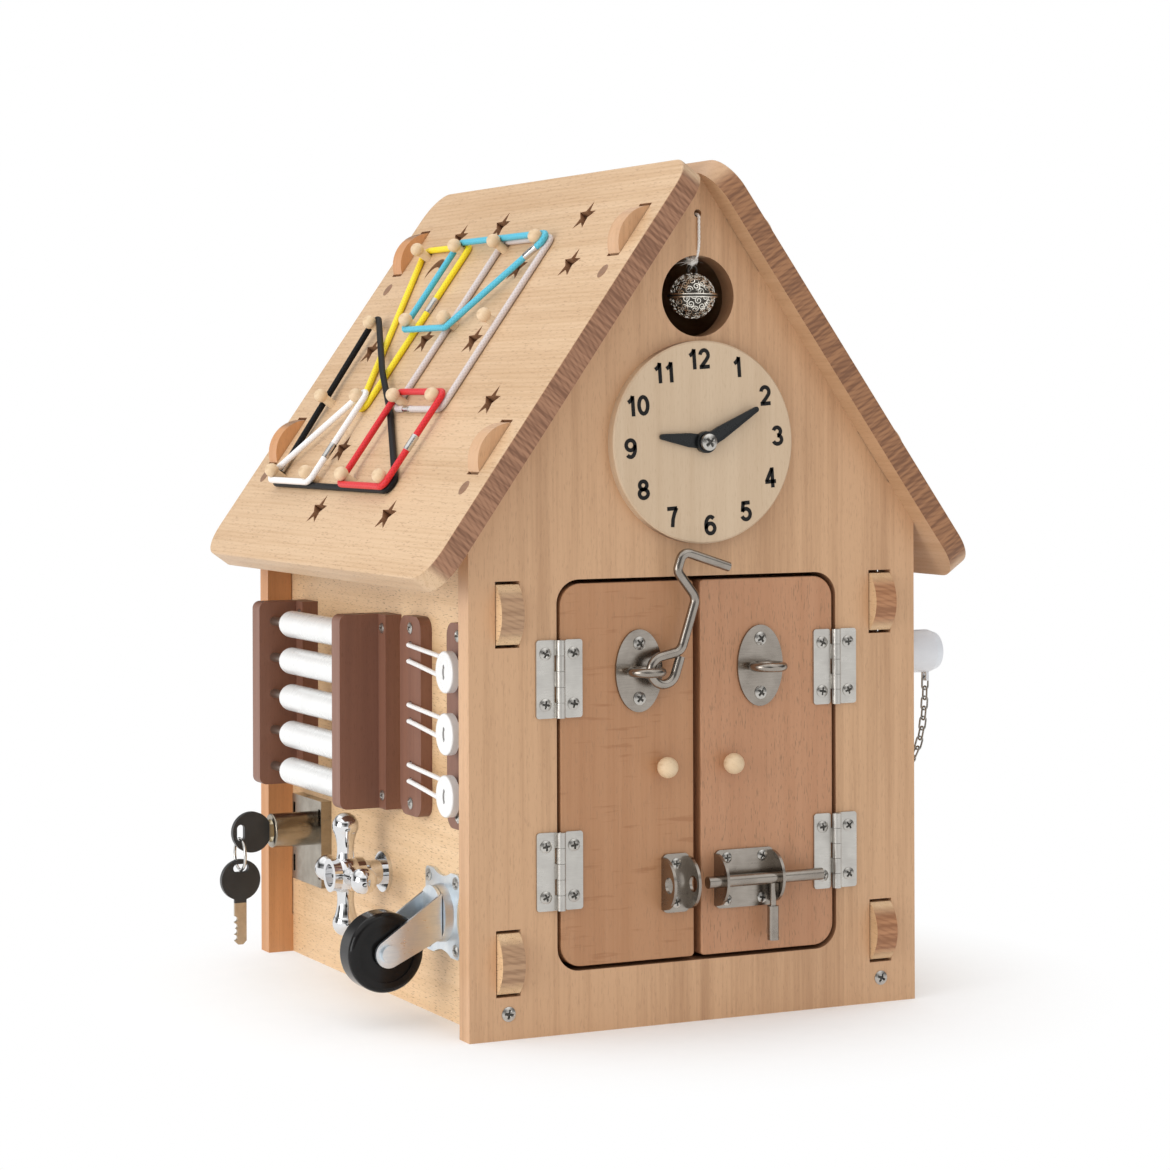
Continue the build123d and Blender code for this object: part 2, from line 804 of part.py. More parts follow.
# The cord is a loop through the small hole: down the wall's front and its back, and both ends to the bail.
cord_out = cord_radius + cord_wall_gap
cord_end = bell_height + bell_radius + 2 * bell_bail_radius + cord_radius + soft_gap
cord_edge = bell_hole_height + bell_hole_radius - cord_edge_drop
cord_spread = cord_radius + soft_gap / 2
cord_points = [
    (0, bell_depth - cord_spread, cord_end), (0, -cord_out, cord_edge), (0, -cord_out, string_hole_height),
    (0, board + cord_out, string_hole_height), (0, board + cord_out, cord_edge),
    (0, bell_depth + cord_spread, cord_end),
]
with BuildPart() as bell_cord:
    with BuildLine() as cord_path:
        FilletPolyline(*cord_points, radius=cord_bend)
    cord_wire = cord_path.wires()[0]
    with BuildSketch(Plane(origin=cord_wire @ 0, z_dir=cord_wire % 0)):
        Circle(cord_radius)
    sweep(path=cord_wire)
cord_section = math.pi * cord_radius ** 2
print("cord bend radius", cord_bend, "length", round(cord_wire.length, 2))
print("cord volume share", round(bell_cord.part.volume / (cord_section * cord_wire.length), 3))
save(bell_cord, "bell_cord")

# Racks: a board out from the wall with a foot along it. The roller rods sit in blind bores in both.
roller_heights = [first_roller_height + step * roller_pitch for step in range(roller_count)]
rod_x = -side_face - rod_reach
rod_places = [(rod_x, height) for height in roller_heights]
rod_start = middle_rack_depth + rack_board - rod_seat
rod_end = rear_rack_depth + rod_seat
with BuildPart() as rack_boards:
    for rack_depth in (rear_rack_depth, middle_rack_depth):
        with BuildSketch(Plane.XZ.offset(-rack_depth)):
            with Locations((-side_face - rack_reach / 2, rack_foot_height + rack_height / 2)):
                Rectangle(rack_reach, rack_height)
        extrude(amount=-rack_board)
        with BuildSketch(Plane.XZ.offset(-rack_depth)):
            with Locations((-side_face - rack_foot_thickness / 2, rack_foot_height + rack_height / 2)):
                Rectangle(rack_foot_thickness, rack_height)
        extrude(amount=rack_foot_width)
    outer_edges = rack_boards.edges().filter_by(Axis.Y).group_by(Axis.X)[0]
    fillet(outer_edges, rack_corner)
    with BuildSketch(Plane.XZ.offset(-rod_start)):
        with Locations(*rod_places):
            Circle(rod_radius)
    extrude(amount=rod_start - rod_end, mode=Mode.SUBTRACT)
save(rack_boards, "rack_boards")

with BuildPart() as rack_rods:
    with BuildSketch(Plane.XZ.offset(-rod_start)):
        with Locations(*rod_places):
            Circle(rod_radius)
    extrude(amount=rod_start - rod_end)
save(rack_rods, "rack_rods")

# Each roller is bored along its length and domed at its rear end.
roller_start = middle_rack_depth + rack_board + soft_gap
roller_end = rear_rack_depth - roller_play
for number, height in enumerate(roller_heights, start=1):
    with BuildPart() as roller:
        with BuildSketch(Plane(origin=(rod_x, 0, height), x_dir=(0, 1, 0), z_dir=(1, 0, 0))):
            dome = roller_end - roller_radius
            arc_mid = roller_radius * math.sin(math.pi / 4)
            with BuildLine():
                Polyline((dome, roller_radius), (roller_start, roller_radius), (roller_start, 0), (roller_end, 0))
                ThreePointArc((roller_end, 0), (dome + arc_mid, arc_mid), (dome, roller_radius))
            make_face()
        revolve(axis=Axis((rod_x, 0, height), (0, 1, 0)))
        with BuildSketch(Plane.XZ.offset(-roller_start)):
            with Locations((rod_x, height)):
                Circle(rod_radius + running_gap)
        extrude(amount=roller_start - roller_end, mode=Mode.SUBTRACT)
    save(roller, f"roller_{number}")

# Button strips: one carries the elastic loops, the other the buttons that they go over.
button_heights = [first_button_height + step * button_pitch for step in range(button_count)]
loop_hole_places = []
for height in button_heights:
    for hole_height in (height + loop_hole_low, height + loop_hole_low + loop_hole_pitch):
        loop_hole_places.append(on_left(loop_strip_depth, hole_height))
with BuildPart() as loop_strip:
    with BuildSketch(left):
        with Locations(on_left(loop_strip_depth, strip_foot + strip_height / 2)):
            RectangleRounded(strip_width, strip_height, strip_corner)
        with Locations(*loop_hole_places):
            Circle(loop_radius + loop_hole_gap, mode=Mode.SUBTRACT)
    extrude(amount=strip_thickness)
save(loop_strip, "loop_strip")

with BuildPart() as button_strip:
    with BuildSketch(left):
        with Locations(on_left(button_strip_depth, strip_foot + strip_height / 2)):
            RectangleRounded(strip_width, strip_height, strip_corner)
    extrude(amount=strip_thickness)
save(button_strip, "button_strip")

button_places = [on_left(button_strip_depth, height) for height in button_heights]
with BuildPart() as buttons:
    with BuildSketch(left.offset(strip_thickness)):
        with Locations(*button_places):
            Circle(button_shank_radius)
    extrude(amount=button_shank)
    with BuildSketch(left.offset(strip_thickness + button_shank)):
        with Locations(*button_places):
            Circle(button_radius)
    extrude(amount=button_thickness)
    fillet(buttons.faces().group_by(Axis.X)[0].edges(), button_edge)
    with BuildSketch(left.offset(strip_thickness + button_shank + button_thickness)):
        with Locations(*button_places):
            with Locations((0, button_hole_spread), (0, -button_hole_spread)):
                Circle(button_hole_radius)
    extrude(amount=-button_thickness / 2, mode=Mode.SUBTRACT)
save(buttons, "buttons")

# Each loop comes out of one hole, goes round its button's shank and back into the next hole.
loop_lift = strip_thickness + loop_radius + soft_gap
loop_turn = button_shank_radius + loop_radius + soft_gap
with BuildPart() as button_loops:
    for height in button_heights:
        low = height + loop_hole_low
        high = low + loop_hole_pitch
        loop_x = -side_face - loop_lift
        with BuildLine() as loop_path:
            front_turn = button_strip_depth - loop_turn
            FilletPolyline(
                (-side_face, loop_strip_depth, low), (loop_x, loop_strip_depth, low),
                (loop_x, front_turn, height - loop_spread), (loop_x, front_turn, height + loop_spread),
                (loop_x, loop_strip_depth, high), (-side_face, loop_strip_depth, high),
                radius=[loop_bend, loop_turn - loop_radius, loop_turn - loop_radius, loop_bend],
            )
        with BuildSketch(Plane(origin=loop_path.line @ 0, z_dir=loop_path.line % 0)):
            Circle(loop_radius)
        sweep(path=loop_path.line)
save(button_loops, "button_loops")

# Lock: a case on the wall, a cylinder out of it, and a core that turns with the key.
lock_place = on_left(lock_depth, lock_height)
case_place = on_left(lock_depth + case_lip, case_foot + case_height / 2)
with BuildPart() as lock_case:
    with BuildSketch(left):
        with Locations(case_place):
            Rectangle(case_width, case_height)
            slot_x = -case_width / 2 + case_slot_width
            slot_y = case_height / 2 - case_slot_height
            with Locations((slot_x, slot_y), (slot_x, -slot_y), (-slot_x, slot_y), (-slot_x, -slot_y)):
                Rectangle(case_slot_width, case_slot_height, mode=Mode.SUBTRACT)
    extrude(amount=case_thickness)
    with BuildSketch(left.offset(case_thickness)):
        with Locations(lock_place):
            Circle(cylinder_radius)
    extrude(amount=cylinder_length)
    fillet(lock_case.faces().sort_by(Axis.X)[0].edges(), core_recess)
    with BuildSketch(left.offset(case_thickness + cylinder_length)):
        with Locations(lock_place):
            Circle(core_radius + running_gap)
    extrude(amount=-core_length, mode=Mode.SUBTRACT)
save(lock_case, "lock_case")

face_out = case_thickness + cylinder_length - core_recess
with BuildPart() as lock_core:
    with BuildSketch(left.offset(face_out)):
        with Locations(lock_place):
            Circle(core_radius)
    extrude(amount=core_recess - core_length)
    with BuildSketch(left.offset(face_out)):
        with Locations(lock_place):
            Rectangle(key_blade_thickness + 2 * key_fit, key_blade_width + 2 * key_fit)
    extrude(amount=core_recess - core_length, mode=Mode.SUBTRACT)
save(lock_core, "lock_core")


def key_shape(blade_length, hole_place):
    # A key in its own plane: the blade along -X into the lock, the bow and its hole on the other side.
    with BuildPart() as key:
        with BuildSketch(Plane.XZ.offset(-key_bow_thickness / 2)):
            Circle(key_bow_radius)
            with Locations((hole_place, 0)):
                SlotOverall(4 * key_hole_radius, 2 * key_hole_radius, rotation=90, mode=Mode.SUBTRACT)
        extrude(amount=key_bow_thickness)
        with BuildSketch(Plane.XZ.offset(-key_blade_thickness / 2)) as blade:
            with Locations((-key_bow_radius / 2, 0)):
                far = (Align.MAX, Align.CENTER)
                Rectangle(blade_length - key_bow_radius / 2, key_blade_width, align=far)
            chamfer(blade.vertices().sort_by(Axis.X)[:2], key_tip)
            notch_run = blade_length - key_bow_radius
            for share in key_notch_shares:
                with Locations((-key_bow_radius - share * notch_run, key_blade_width / 2)):
                    Circle(key_notch_radius, mode=Mode.SUBTRACT)
        extrude(amount=key_blade_thickness)
    return key


key_x = -side_face - face_out - key_bow_reach
with BuildPart() as lock_key:
    with Locations(Location((key_x, lock_depth, lock_height), (0, 0, 180))):
        add(key_shape(key_blade_length, key_hole_place).part)
save(lock_key, "lock_key")

# The ring hangs in the bow's hole and carries the spare key below it.
ring_top = (key_x - key_hole_place, lock_depth, lock_height - 2 * key_hole_radius + key_ring_wire + soft_gap)
ring_middle = (ring_top[0], lock_depth, ring_top[2] - key_ring_radius)
with BuildPart() as key_ring:
    with Locations(ring_middle):
        Torus(key_ring_radius, key_ring_wire, rotation=(0, 90, 0))
save(key_ring, "key_ring")

spare_hang = ring_middle[2] - key_ring_radius - soft_gap - key_ring_wire
with BuildPart() as spare_key:
    spare_z = spare_hang + 2 * key_hole_radius - key_hole_place
    with Locations(Location((ring_top[0], lock_depth, spare_z - key_hole_radius), (0, -90, 0))):
        add(key_shape(spare_key_blade_length, key_hole_place).part)
save(spare_key, "spare_key")

# Tap: a base and stem on the wall, and a cross handle with four swelling arms.
tap_place = on_left(tap_depth, tap_height)
with BuildPart() as tap_stem:
    with BuildSketch(left):
        with Locations(tap_place):
            Circle(tap_base_radius)
    extrude(amount=tap_base_thickness)
    with BuildSketch(left):
        with Locations(tap_place):
            Circle(tap_shoulder_radius)
    extrude(amount=tap_base_thickness + tap_shoulder_length)
    with BuildSketch(left):
        with Locations(tap_place):
            Circle(tap_stem_radius)
    extrude(amount=tap_hub_reach)
save(tap_stem, "tap_stem")

# One arm along X, turned from a profile: wide at the hub, a waist, and a ball at its end.
arm_tip_x = tap_arm_end_radius * math.cos(math.pi / 3)
arm_tip_y = tap_arm_end_radius * math.sin(math.pi / 3)
with BuildPart() as tap_arm:
    with BuildSketch():
        with BuildLine():
            neck_end = (tap_arm_reach - arm_tip_x, arm_tip_y)
            arm_end = (tap_arm_reach + tap_arm_end_radius, 0)
            waist = (tap_arm_waist_place, tap_arm_waist_radius)
            Polyline(arm_end, (0, 0), (0, tap_arm_root_radius))
            ThreePointArc((0, tap_arm_root_radius), waist, neck_end)
            ThreePointArc(neck_end, (tap_arm_reach + arm_tip_x, arm_tip_y), arm_end)
        make_face()
    revolve(axis=Axis.X)

tap_x = -side_face - tap_hub_reach
with BuildPart() as tap_handle:
    with Locations(Location((tap_x, tap_depth, tap_height), (0, -90, 0))):
        upright = (Align.CENTER, Align.CENTER, Align.MIN)
        Cylinder(tap_hub_radius, 2 * tap_hub_half_length)
        Sphere(tap_hub_ball_radius)
        for step in range(tap_arm_count):
            with Locations(Location((0, 0, 0), (0, 0, 360 / tap_arm_count * step))):
                add(tap_arm.part)
        with Locations((0, 0, tap_hub_half_length - tap_hub_recess)):
            Cylinder(tap_hub_recess_radius, tap_hub_recess + overrun, align=upright, mode=Mode.SUBTRACT)
        with Locations((0, 0, -tap_hub_half_length - overrun)):
            bore_long = tap_hub_half_length + overrun + soft_gap
            Cylinder(tap_stem_radius + running_gap, bore_long, align=upright, mode=Mode.SUBTRACT)
save(tap_handle, "tap_handle")

# Caster: a scalloped plate with its raised race and king pin, a bent fork, an axle and a wheel.
caster_place = on_left(caster_depth, caster_height)
race_out = caster_plate_thickness + caster_race_height
fork_out = race_out + fork_gap
with BuildPart() as caster_plate:
    with BuildSketch(left):
        with Locations(caster_place):
            Rectangle(2 * caster_plate_half, 2 * caster_plate_half)
            scallop = caster_plate_half + math.sqrt(caster_plate_scallop ** 2 - (caster_plate_half / 2) ** 2)
            with Locations((scallop, 0), (-scallop, 0), (0, scallop), (0, -scallop)):
                Circle(caster_plate_scallop, mode=Mode.SUBTRACT)
    extrude(amount=caster_plate_thickness)
    fillet(caster_plate.edges().filter_by(Axis.X), caster_plate_corner)
    with BuildSketch(left):
        with Locations(caster_place):
            Circle(caster_race_radius)
    extrude(amount=race_out, taper=caster_race_taper)
    with BuildSketch(left):
        with Locations(caster_place):
            Circle(caster_pin_radius)
    extrude(amount=fork_out + fork_wall + fork_gap)
    with BuildSketch(left.offset(fork_out + fork_wall + fork_gap)):
        with Locations(caster_place):
            Circle(caster_pin_head_radius)
    extrude(amount=caster_pin_head_height)
save(caster_plate, "caster_plate")

axle_x = -side_face - wheel_reach
axle_z = caster_height - wheel_trail
fork_half = wheel_width / 2 + wheel_side_gap
with BuildPart() as caster_fork:
    with BuildSketch(left.offset(fork_out)):
        with Locations(caster_place):
            Circle(fork_base_radius)
            span = 2 * (fork_half + fork_wall)
            Rectangle(span, 2 * fork_base_radius, mode=Mode.INTERSECT)
            Circle(caster_pin_radius + running_gap, mode=Mode.SUBTRACT)
    extrude(amount=fork_wall)
    for leg_depth in (caster_depth - fork_half - fork_wall, caster_depth + fork_half):
        base_x = -side_face - fork_out
        with BuildSketch(Plane.XZ.offset(-leg_depth)):
            with BuildLine():
                top = (base_x, caster_height + fork_leg_width / 2)
                foot = (base_x, caster_height - fork_leg_width / 2)
                reach = math.hypot(axle_x - base_x, wheel_trail)
                along = math.atan2(-wheel_trail, axle_x - base_x)
                toe_top = (
                    axle_x + fork_toe_radius * math.cos(along - math.pi / 2),
                    axle_z + fork_toe_radius * math.sin(along - math.pi / 2),
                )
                toe_end = (axle_x + fork_toe_radius * math.cos(along), axle_z + fork_toe_radius * math.sin(along))
                toe_foot = (2 * axle_x - toe_top[0], 2 * axle_z - toe_top[1])
                Line(foot, top)
                Line(top, toe_top)
                ThreePointArc(toe_top, toe_end, toe_foot)
                Line(toe_foot, foot)
            make_face()
            with Locations((axle_x, axle_z)):
                Circle(axle_radius, mode=Mode.SUBTRACT)
        extrude(amount=-fork_wall)
save(caster_fork, "caster_fork")

with BuildPart() as caster_axle:
    axle_start = caster_depth - fork_half - fork_wall
    axle_long = 2 * (fork_half + fork_wall)
    with BuildSketch(Plane.XZ.offset(-axle_start)):
        with Locations((axle_x, axle_z)):
            Circle(axle_radius)
    extrude(amount=-axle_long)
    for head_start, outward in ((axle_start, 1), (axle_start + axle_long, -1)):
        with BuildSketch(Plane.XZ.offset(-head_start)):
            with Locations((axle_x, axle_z)):
                Circle(axle_head_radius)
        extrude(amount=outward * axle_head_height)
save(caster_axle, "caster_axle")

with BuildPart() as caster_wheel:
    with BuildSketch(Plane.XZ.offset(-caster_depth - wheel_width / 2)):
        with Locations((axle_x, axle_z)):
            Circle(wheel_radius)
    extrude(amount=wheel_width)
    fillet(caster_wheel.edges().filter_by(GeomType.CIRCLE), wheel_edge)
    for dish_depth, inward in ((caster_depth - wheel_width / 2, -1), (caster_depth + wheel_width / 2, 1)):
        with BuildSketch(Plane.XZ.offset(-dish_depth)):
            with Locations((axle_x, axle_z)):
                Circle(wheel_dish_radius)
                Circle(axle_head_radius, mode=Mode.SUBTRACT)
        extrude(amount=inward * wheel_dish_depth, mode=Mode.SUBTRACT)
    with BuildSketch(Plane.XZ.offset(-caster_depth - wheel_width / 2)):
        with Locations((axle_x, axle_z)):
            Circle(axle_radius + running_gap)
    extrude(amount=wheel_width, mode=Mode.SUBTRACT)
save(caster_wheel, "caster_wheel")

# Plug: a spigot in the right wall's hole, a body, a tapered cap and a lug for the chain.
plug_place = (plug_depth, plug_height)
lug_x = side_face + plug_reach - plug_cap_length
lug_hole_z = plug_height - plug_radius - lug_drop + lug_hole_radius + link_wire
with BuildPart() as plug:
    with BuildSketch(right):
        with Locations(plug_place):
            Circle(plug_spigot_radius)
    extrude(amount=-board)
    with BuildSketch(right):
        with Locations(plug_place):
            Circle(plug_radius)
    extrude(amount=plug_reach - plug_cap_length)
    with BuildSketch(right.offset(plug_reach - plug_cap_length)):
        with Locations(plug_place):
            Circle(plug_radius)
    with BuildSketch(right.offset(plug_reach)):
        with Locations(plug_place):
            Circle(plug_end_radius)
    loft()
    with BuildSketch(Plane.YZ.offset(lug_x - lug_thickness)):
        with Locations((plug_depth, plug_height - plug_radius - lug_drop)):
            Rectangle(lug_width, plug_radius, align=(Align.CENTER, Align.MIN))
        with Locations((plug_depth, lug_hole_z)):
            Circle(lug_hole_radius, mode=Mode.SUBTRACT)
    extrude(amount=lug_thickness)
save(plug, "plug")

# The chain hangs in a bow from the plug's lug to a small eye in the wall.
wall_eye_x = side_face + wall_eye_reach
wall_eye_z = plug_height - eye_drop
with BuildPart() as chain_eye:
    with BuildSketch(right):
        with Locations((plug_depth, wall_eye_z)):
            Circle(wall_eye_wire)
    extrude(amount=-wall_eye_shank)
    with BuildSketch(right):
        with Locations((plug_depth, wall_eye_z)):
            Circle(wall_eye_wire)
    extrude(amount=wall_eye_reach - wall_eye_radius)
    with Locations((wall_eye_x, plug_depth, wall_eye_z)):
        Torus(wall_eye_radius, wall_eye_wire, rotation=(90, 0, 0))
save(chain_eye, "chain_eye")

# The links follow a hanging bow, each turned a quarter from the one before it.
link_step = link_length - 2 * link_wire - link_slack
chain_lead = link_length / 2 + lug_hole_radius - link_wire - link_slack
chain_tail = link_length / 2 - link_wire - wall_eye_wire - link_slack - 2 * soft_gap
chain_long = (link_count - 1) * link_step + chain_lead + chain_tail
chain_start = (lug_x - lug_thickness / 2, lug_hole_z)
eye_turn = math.radians(chain_eye_angle)
eye_way = (math.cos(eye_turn), -math.sin(eye_turn))
chain_end = (wall_eye_x + wall_eye_radius * eye_way[0], wall_eye_z + wall_eye_radius * eye_way[1])


def bow_points(pull):
    # Points along the bow that hangs from the lug to the wall eye, pulled down by the given length.
    first = (chain_start[0], chain_start[1] - pull)
    last_pull = chain_pull_share * pull
    last = (chain_end[0] + last_pull * eye_way[0], chain_end[1] + last_pull * eye_way[1])
    points = []
    for step in range(bow_steps + 1):
        t = step / bow_steps
        near, mid, late, far = (1 - t) ** 3, 3 * t * (1 - t) ** 2, 3 * t ** 2 * (1 - t), t ** 3
        points.append(tuple(
            near * chain_start[i] + mid * first[i] + late * last[i] + far * chain_end[i] for i in (0, 1)
        ))
    return points


low_pull, high_pull = 0, chain_long
for attempt in range(bow_steps):
    pull = (low_pull + high_pull) / 2
    bow = bow_points(pull)
    bow_long = sum(math.dist(one, two) for one, two in zip(bow, bow[1:]))
    low_pull, high_pull = (pull, high_pull) if bow_long < chain_long else (low_pull, pull)


def bow_place(travel):
    # The point that lies the given length along the bow.
    for one, two in zip(bow, bow[1:]):
        piece_long = math.dist(one, two)
        if travel <= piece_long:
            break
        travel -= piece_long
    share = travel / piece_long
    return (one[0] + share * (two[0] - one[0]), one[1] + share * (two[1] - one[1]))


chain_joints = [bow_place(chain_lead + (number - 0.5) * link_step) for number in range(link_count + 1)]
with BuildPart() as plug_chain:
    for number in range(link_count):
        one, two = chain_joints[number], chain_joints[number + 1]
        middle = ((one[0] + two[0]) / 2, plug_depth, (one[1] + two[1]) / 2)
        along = (two[0] - one[0], 0, two[1] - one[1])
        facing = (0, 1, 0) if number % 2 == 0 else (-along[2], 0, along[0])
        with BuildSketch(Plane(origin=middle, x_dir=along, z_dir=facing)):
            SlotOverall(link_length, link_width)
            SlotOverall(link_length - 2 * link_wire, link_width - 2 * link_wire, mode=Mode.SUBTRACT)
        extrude(amount=link_wire / 2, both=True)
print("chain length", round(chain_long, 2), "links", len(plug_chain.solids()))
save(plug_chain, "plug_chain")
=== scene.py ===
import math

import bpy
import numpy as np
from mathutils import Euler, Matrix, Vector


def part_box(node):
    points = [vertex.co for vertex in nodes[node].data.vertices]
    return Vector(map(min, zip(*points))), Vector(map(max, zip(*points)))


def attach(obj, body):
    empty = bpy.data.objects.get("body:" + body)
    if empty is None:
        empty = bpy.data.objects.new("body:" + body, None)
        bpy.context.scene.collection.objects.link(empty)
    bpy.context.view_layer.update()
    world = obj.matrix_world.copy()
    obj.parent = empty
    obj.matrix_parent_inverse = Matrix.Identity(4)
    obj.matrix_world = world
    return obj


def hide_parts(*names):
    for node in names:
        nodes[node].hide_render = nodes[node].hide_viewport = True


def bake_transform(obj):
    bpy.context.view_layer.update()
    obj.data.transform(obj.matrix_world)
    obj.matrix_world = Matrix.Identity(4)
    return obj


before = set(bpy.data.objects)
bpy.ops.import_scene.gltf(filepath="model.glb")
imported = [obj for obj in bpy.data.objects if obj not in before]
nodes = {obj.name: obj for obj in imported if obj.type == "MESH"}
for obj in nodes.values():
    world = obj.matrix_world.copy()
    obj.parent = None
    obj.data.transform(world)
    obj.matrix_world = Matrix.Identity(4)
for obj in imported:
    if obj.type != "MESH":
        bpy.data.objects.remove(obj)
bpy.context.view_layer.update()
print("frame loaded,", len(nodes), "nodes")

scene = bpy.context.scene
mm = 0.001
wallShift = np.array([0.0, -6.0, 0.0])  # drawn millimetres count from the front face of the front wall
circle = 2 * math.pi
xAxis, yAxis, zAxis = np.eye(3)


def place(points):
    # Row point in metres = (drawn point in millimetres + wall shift) / 1000.
    return (np.asarray(points, float) + wallShift) * mm


def unit(vectors):
    # Each vector divided by its own length.
    vectors = np.asarray(vectors, float)
    return vectors / np.linalg.norm(vectors, axis=-1, keepdims=True)


def smooth(low, high, values):
    # Cubic step 3t^2 - 2t^3, with t the share of the way from low to high.
    t = np.clip((values - low) / (high - low), 0, 1)
    return t * t * (3 - 2 * t)


def skin(grid, wrapRows=False, run=None, recessShade=None):
    # A grid of rings: each quad joins a ring's neighbours to the next ring's, and the end rings close on their
    # middles. The volume sum of a . (b x c) tells whether the faces point outwards, and turns them if they don't.
    grid = np.asarray(grid, float)
    rows, columns = grid.shape[:2]
    points = grid.reshape(-1, 3)
    r, c = np.meshgrid(np.arange(rows if wrapRows else rows - 1), np.arange(columns), indexing="ij")
    r, c = r.ravel(), c.ravel()
    rNext, cNext = (r + 1) % rows, (c + 1) % columns
    quads = np.stack([r * columns + c, r * columns + cNext, rNext * columns + cNext, rNext * columns + c], -1)
    run = np.linspace(0, 1, rows + 1) if run is None else run
    across = np.stack([c, c + 1, c + 1, c], -1) / columns
    along = np.stack([run[r], run[r], run[r + 1], run[r + 1]], -1)
    uvs = np.stack([across, along], -1)
    ends = np.zeros((0, 3), int)
    # Painted shade value of each point, nought unless given.
    paintedShade = np.zeros(rows * columns) if recessShade is None else np.asarray(recessShade, float).ravel()
    if not wrapRows:
        ring = np.arange(columns)
        after = (ring + 1) % columns
        last = (rows - 1) * columns
        count = len(points)
        points = np.vstack([points, grid[0].mean(0), grid[-1].mean(0)])
        ends = np.vstack([
            np.stack([after, ring, np.full(columns, count)], -1),
            np.stack([last + ring, last + after, np.full(columns, count + 1)], -1),
        ])
        paintedShade = np.concatenate([paintedShade, [paintedShade[0], paintedShade[-1]]])
    a, b, d, e = (points[quads[:, corner]] - points.mean(0) for corner in range(4))
    if np.sum(a * np.cross(b, d)) + np.sum(a * np.cross(d, e)) < 0:
        quads, uvs, ends = quads[:, ::-1], uvs[:, ::-1], ends[:, ::-1]
    endUvs = np.zeros((len(ends), 3, 2)) + 0.5
    return {"points": points, "quads": quads, "ends": ends, "uvs": uvs, "endUvs": endUvs, "recessShade": paintedShade}


def heading(path, closed):
    # Unit direction at each point: the next point less the one before, round the loop where it is closed.
    return unit(np.roll(path, -1, 0) - np.roll(path, 1, 0) if closed else np.gradient(path, axis=0))


def fullTurn(count):
    # Even angles round a circle: 2 pi i / count.
    return np.arange(count) * circle / count


def around(angle, u, v):
    # Point of a circle at each angle: cos a * u + sin a * v.
    return np.cos(angle)[:, None] * u + np.sin(angle)[:, None] * v


def squareTo(axis):
    # Two unit vectors square to an axis: u = Z x axis, or X x axis where the axis is near Z, and v = axis x u.
    u = unit(np.cross(zAxis if abs(axis[2]) < 0.9 else xAxis, axis))
    return u, np.cross(axis, u)


def runAlong(path):
    # Length from the first point to each point: the running sum of the steps.
    return np.concatenate([[0], np.cumsum(np.linalg.norm(np.diff(path, axis=0), axis=1))])


def tube(path, normals, radius, sides=12, closed=False, lobeShare=0.0, lay=1.0):
    # Profile along a path: point + r (cos a * side + sin a * up), side square to the path and the given normal.
    # Two laid strands: r = radius (1 - share (1 - cos(2 a - 2 pi s / lay)) / 2), s the length along the path.
    path = np.asarray(path, float)
    forward = heading(path, closed)
    side = unit(np.cross(np.broadcast_to(np.asarray(normals, float), path.shape), forward))
    angle = fullTurn(sides)
    travel = runAlong(np.vstack([path, path[:1]]))
    girth = np.broadcast_to(np.asarray(radius, float), (len(path),))[:, None] * np.ones(sides)
    girth = girth * (1 - lobeShare * (1 - np.cos(2 * angle - circle / lay * travel[:-1, None])) / 2)
    ring = around(angle, side[:, None], np.cross(forward, side)[:, None])
    return skin(path[:, None] + girth[..., None] * ring, closed, travel)


def lathe(centre, axis, profile, sides):
    # Profile (radius, height) turned about an axis: centre + height * axis + radius (cos a * u + sin a * v).
    axis = unit(axis)
    profile = np.asarray(profile, float)[:, None]
    return skin(centre + profile[..., 1:] * axis + profile[..., :1] * around(fullTurn(sides), *squareTo(axis)))


def linked(name, data):
    # A new object that holds the data, put in the scene.
    holder = bpy.data.objects.new(name, data)
    scene.collection.objects.link(holder)
    return holder


def makePiece(name, skins, material, body, crease=35):
    # All the skins put one after another in one mesh, in metres, with its UV map and its painted shade values.
    # Its faces are smooth, and edges sharper than the crease angle stay hard.
    start, points, faces, uvs, paintedShade = 0, [], [], [], []
    for one in skins:
        points.append(one["points"])
        faces += (one["quads"] + start).tolist() + (one["ends"] + start).tolist()
        uvs += [one["uvs"].reshape(-1, 2), one["endUvs"].reshape(-1, 2)]
        paintedShade.append(one["recessShade"])
        start += len(one["points"])
    mesh = bpy.data.meshes.new(name)
    mesh.from_pydata(place(np.vstack(points)).tolist(), [], faces)
    mesh.uv_layers.new(name="UVMap").data.foreach_set("uv", np.vstack(uvs).ravel())
    # Painted shade of each point, which darkens recesses in the materials that read it.
    mesh.attributes.new("recessShade", "FLOAT", "POINT").data.foreach_set("value", np.concatenate(paintedShade))
    mesh.polygons.foreach_set("use_smooth", np.ones(len(mesh.polygons), bool))
    mesh.set_sharp_from_angle(angle=math.radians(crease))
    mesh.materials.append(material)
    piece = linked(name, mesh)
    if body:
        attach(piece, body)
    return piece


# Node groups and materials

def startGroup(name, colours, numbers):
    # An empty group: a vector, colours and numbers go in; a colour, a height and a roughness come out.
    tree = bpy.data.node_groups.new(name, "ShaderNodeTree")
    sockets = [("Vector", "INPUT", "Vector")] + [(label, "INPUT", "Color") for label in colours]
    sockets += [(label, "INPUT", "Float") for label in numbers]
    sockets += [("Color", "OUTPUT", "Color"), ("Height", "OUTPUT", "Float"), ("Rough", "OUTPUT", "Float")]
    for label, way, kind in sockets:
        tree.interface.new_socket(name=label, in_out=way, socket_type="NodeSocket" + kind)
    return tree.nodes.new("NodeGroupInput").outputs, tree.nodes.new("NodeGroupOutput").inputs


def endGroup(outlet, colour, height, rough):
    # The group, once its three results are linked to its outputs.
    for value, socket in zip((colour, height, rough), outlet):
        wire(value, socket)
    return colour.id_data


def wire(value, socket):
    # A link where the value is a socket, and its own number otherwise.
    if isinstance(value, bpy.types.NodeSocket):
        socket.id_data.links.new(value, socket)
    else:
        socket.default_value = value


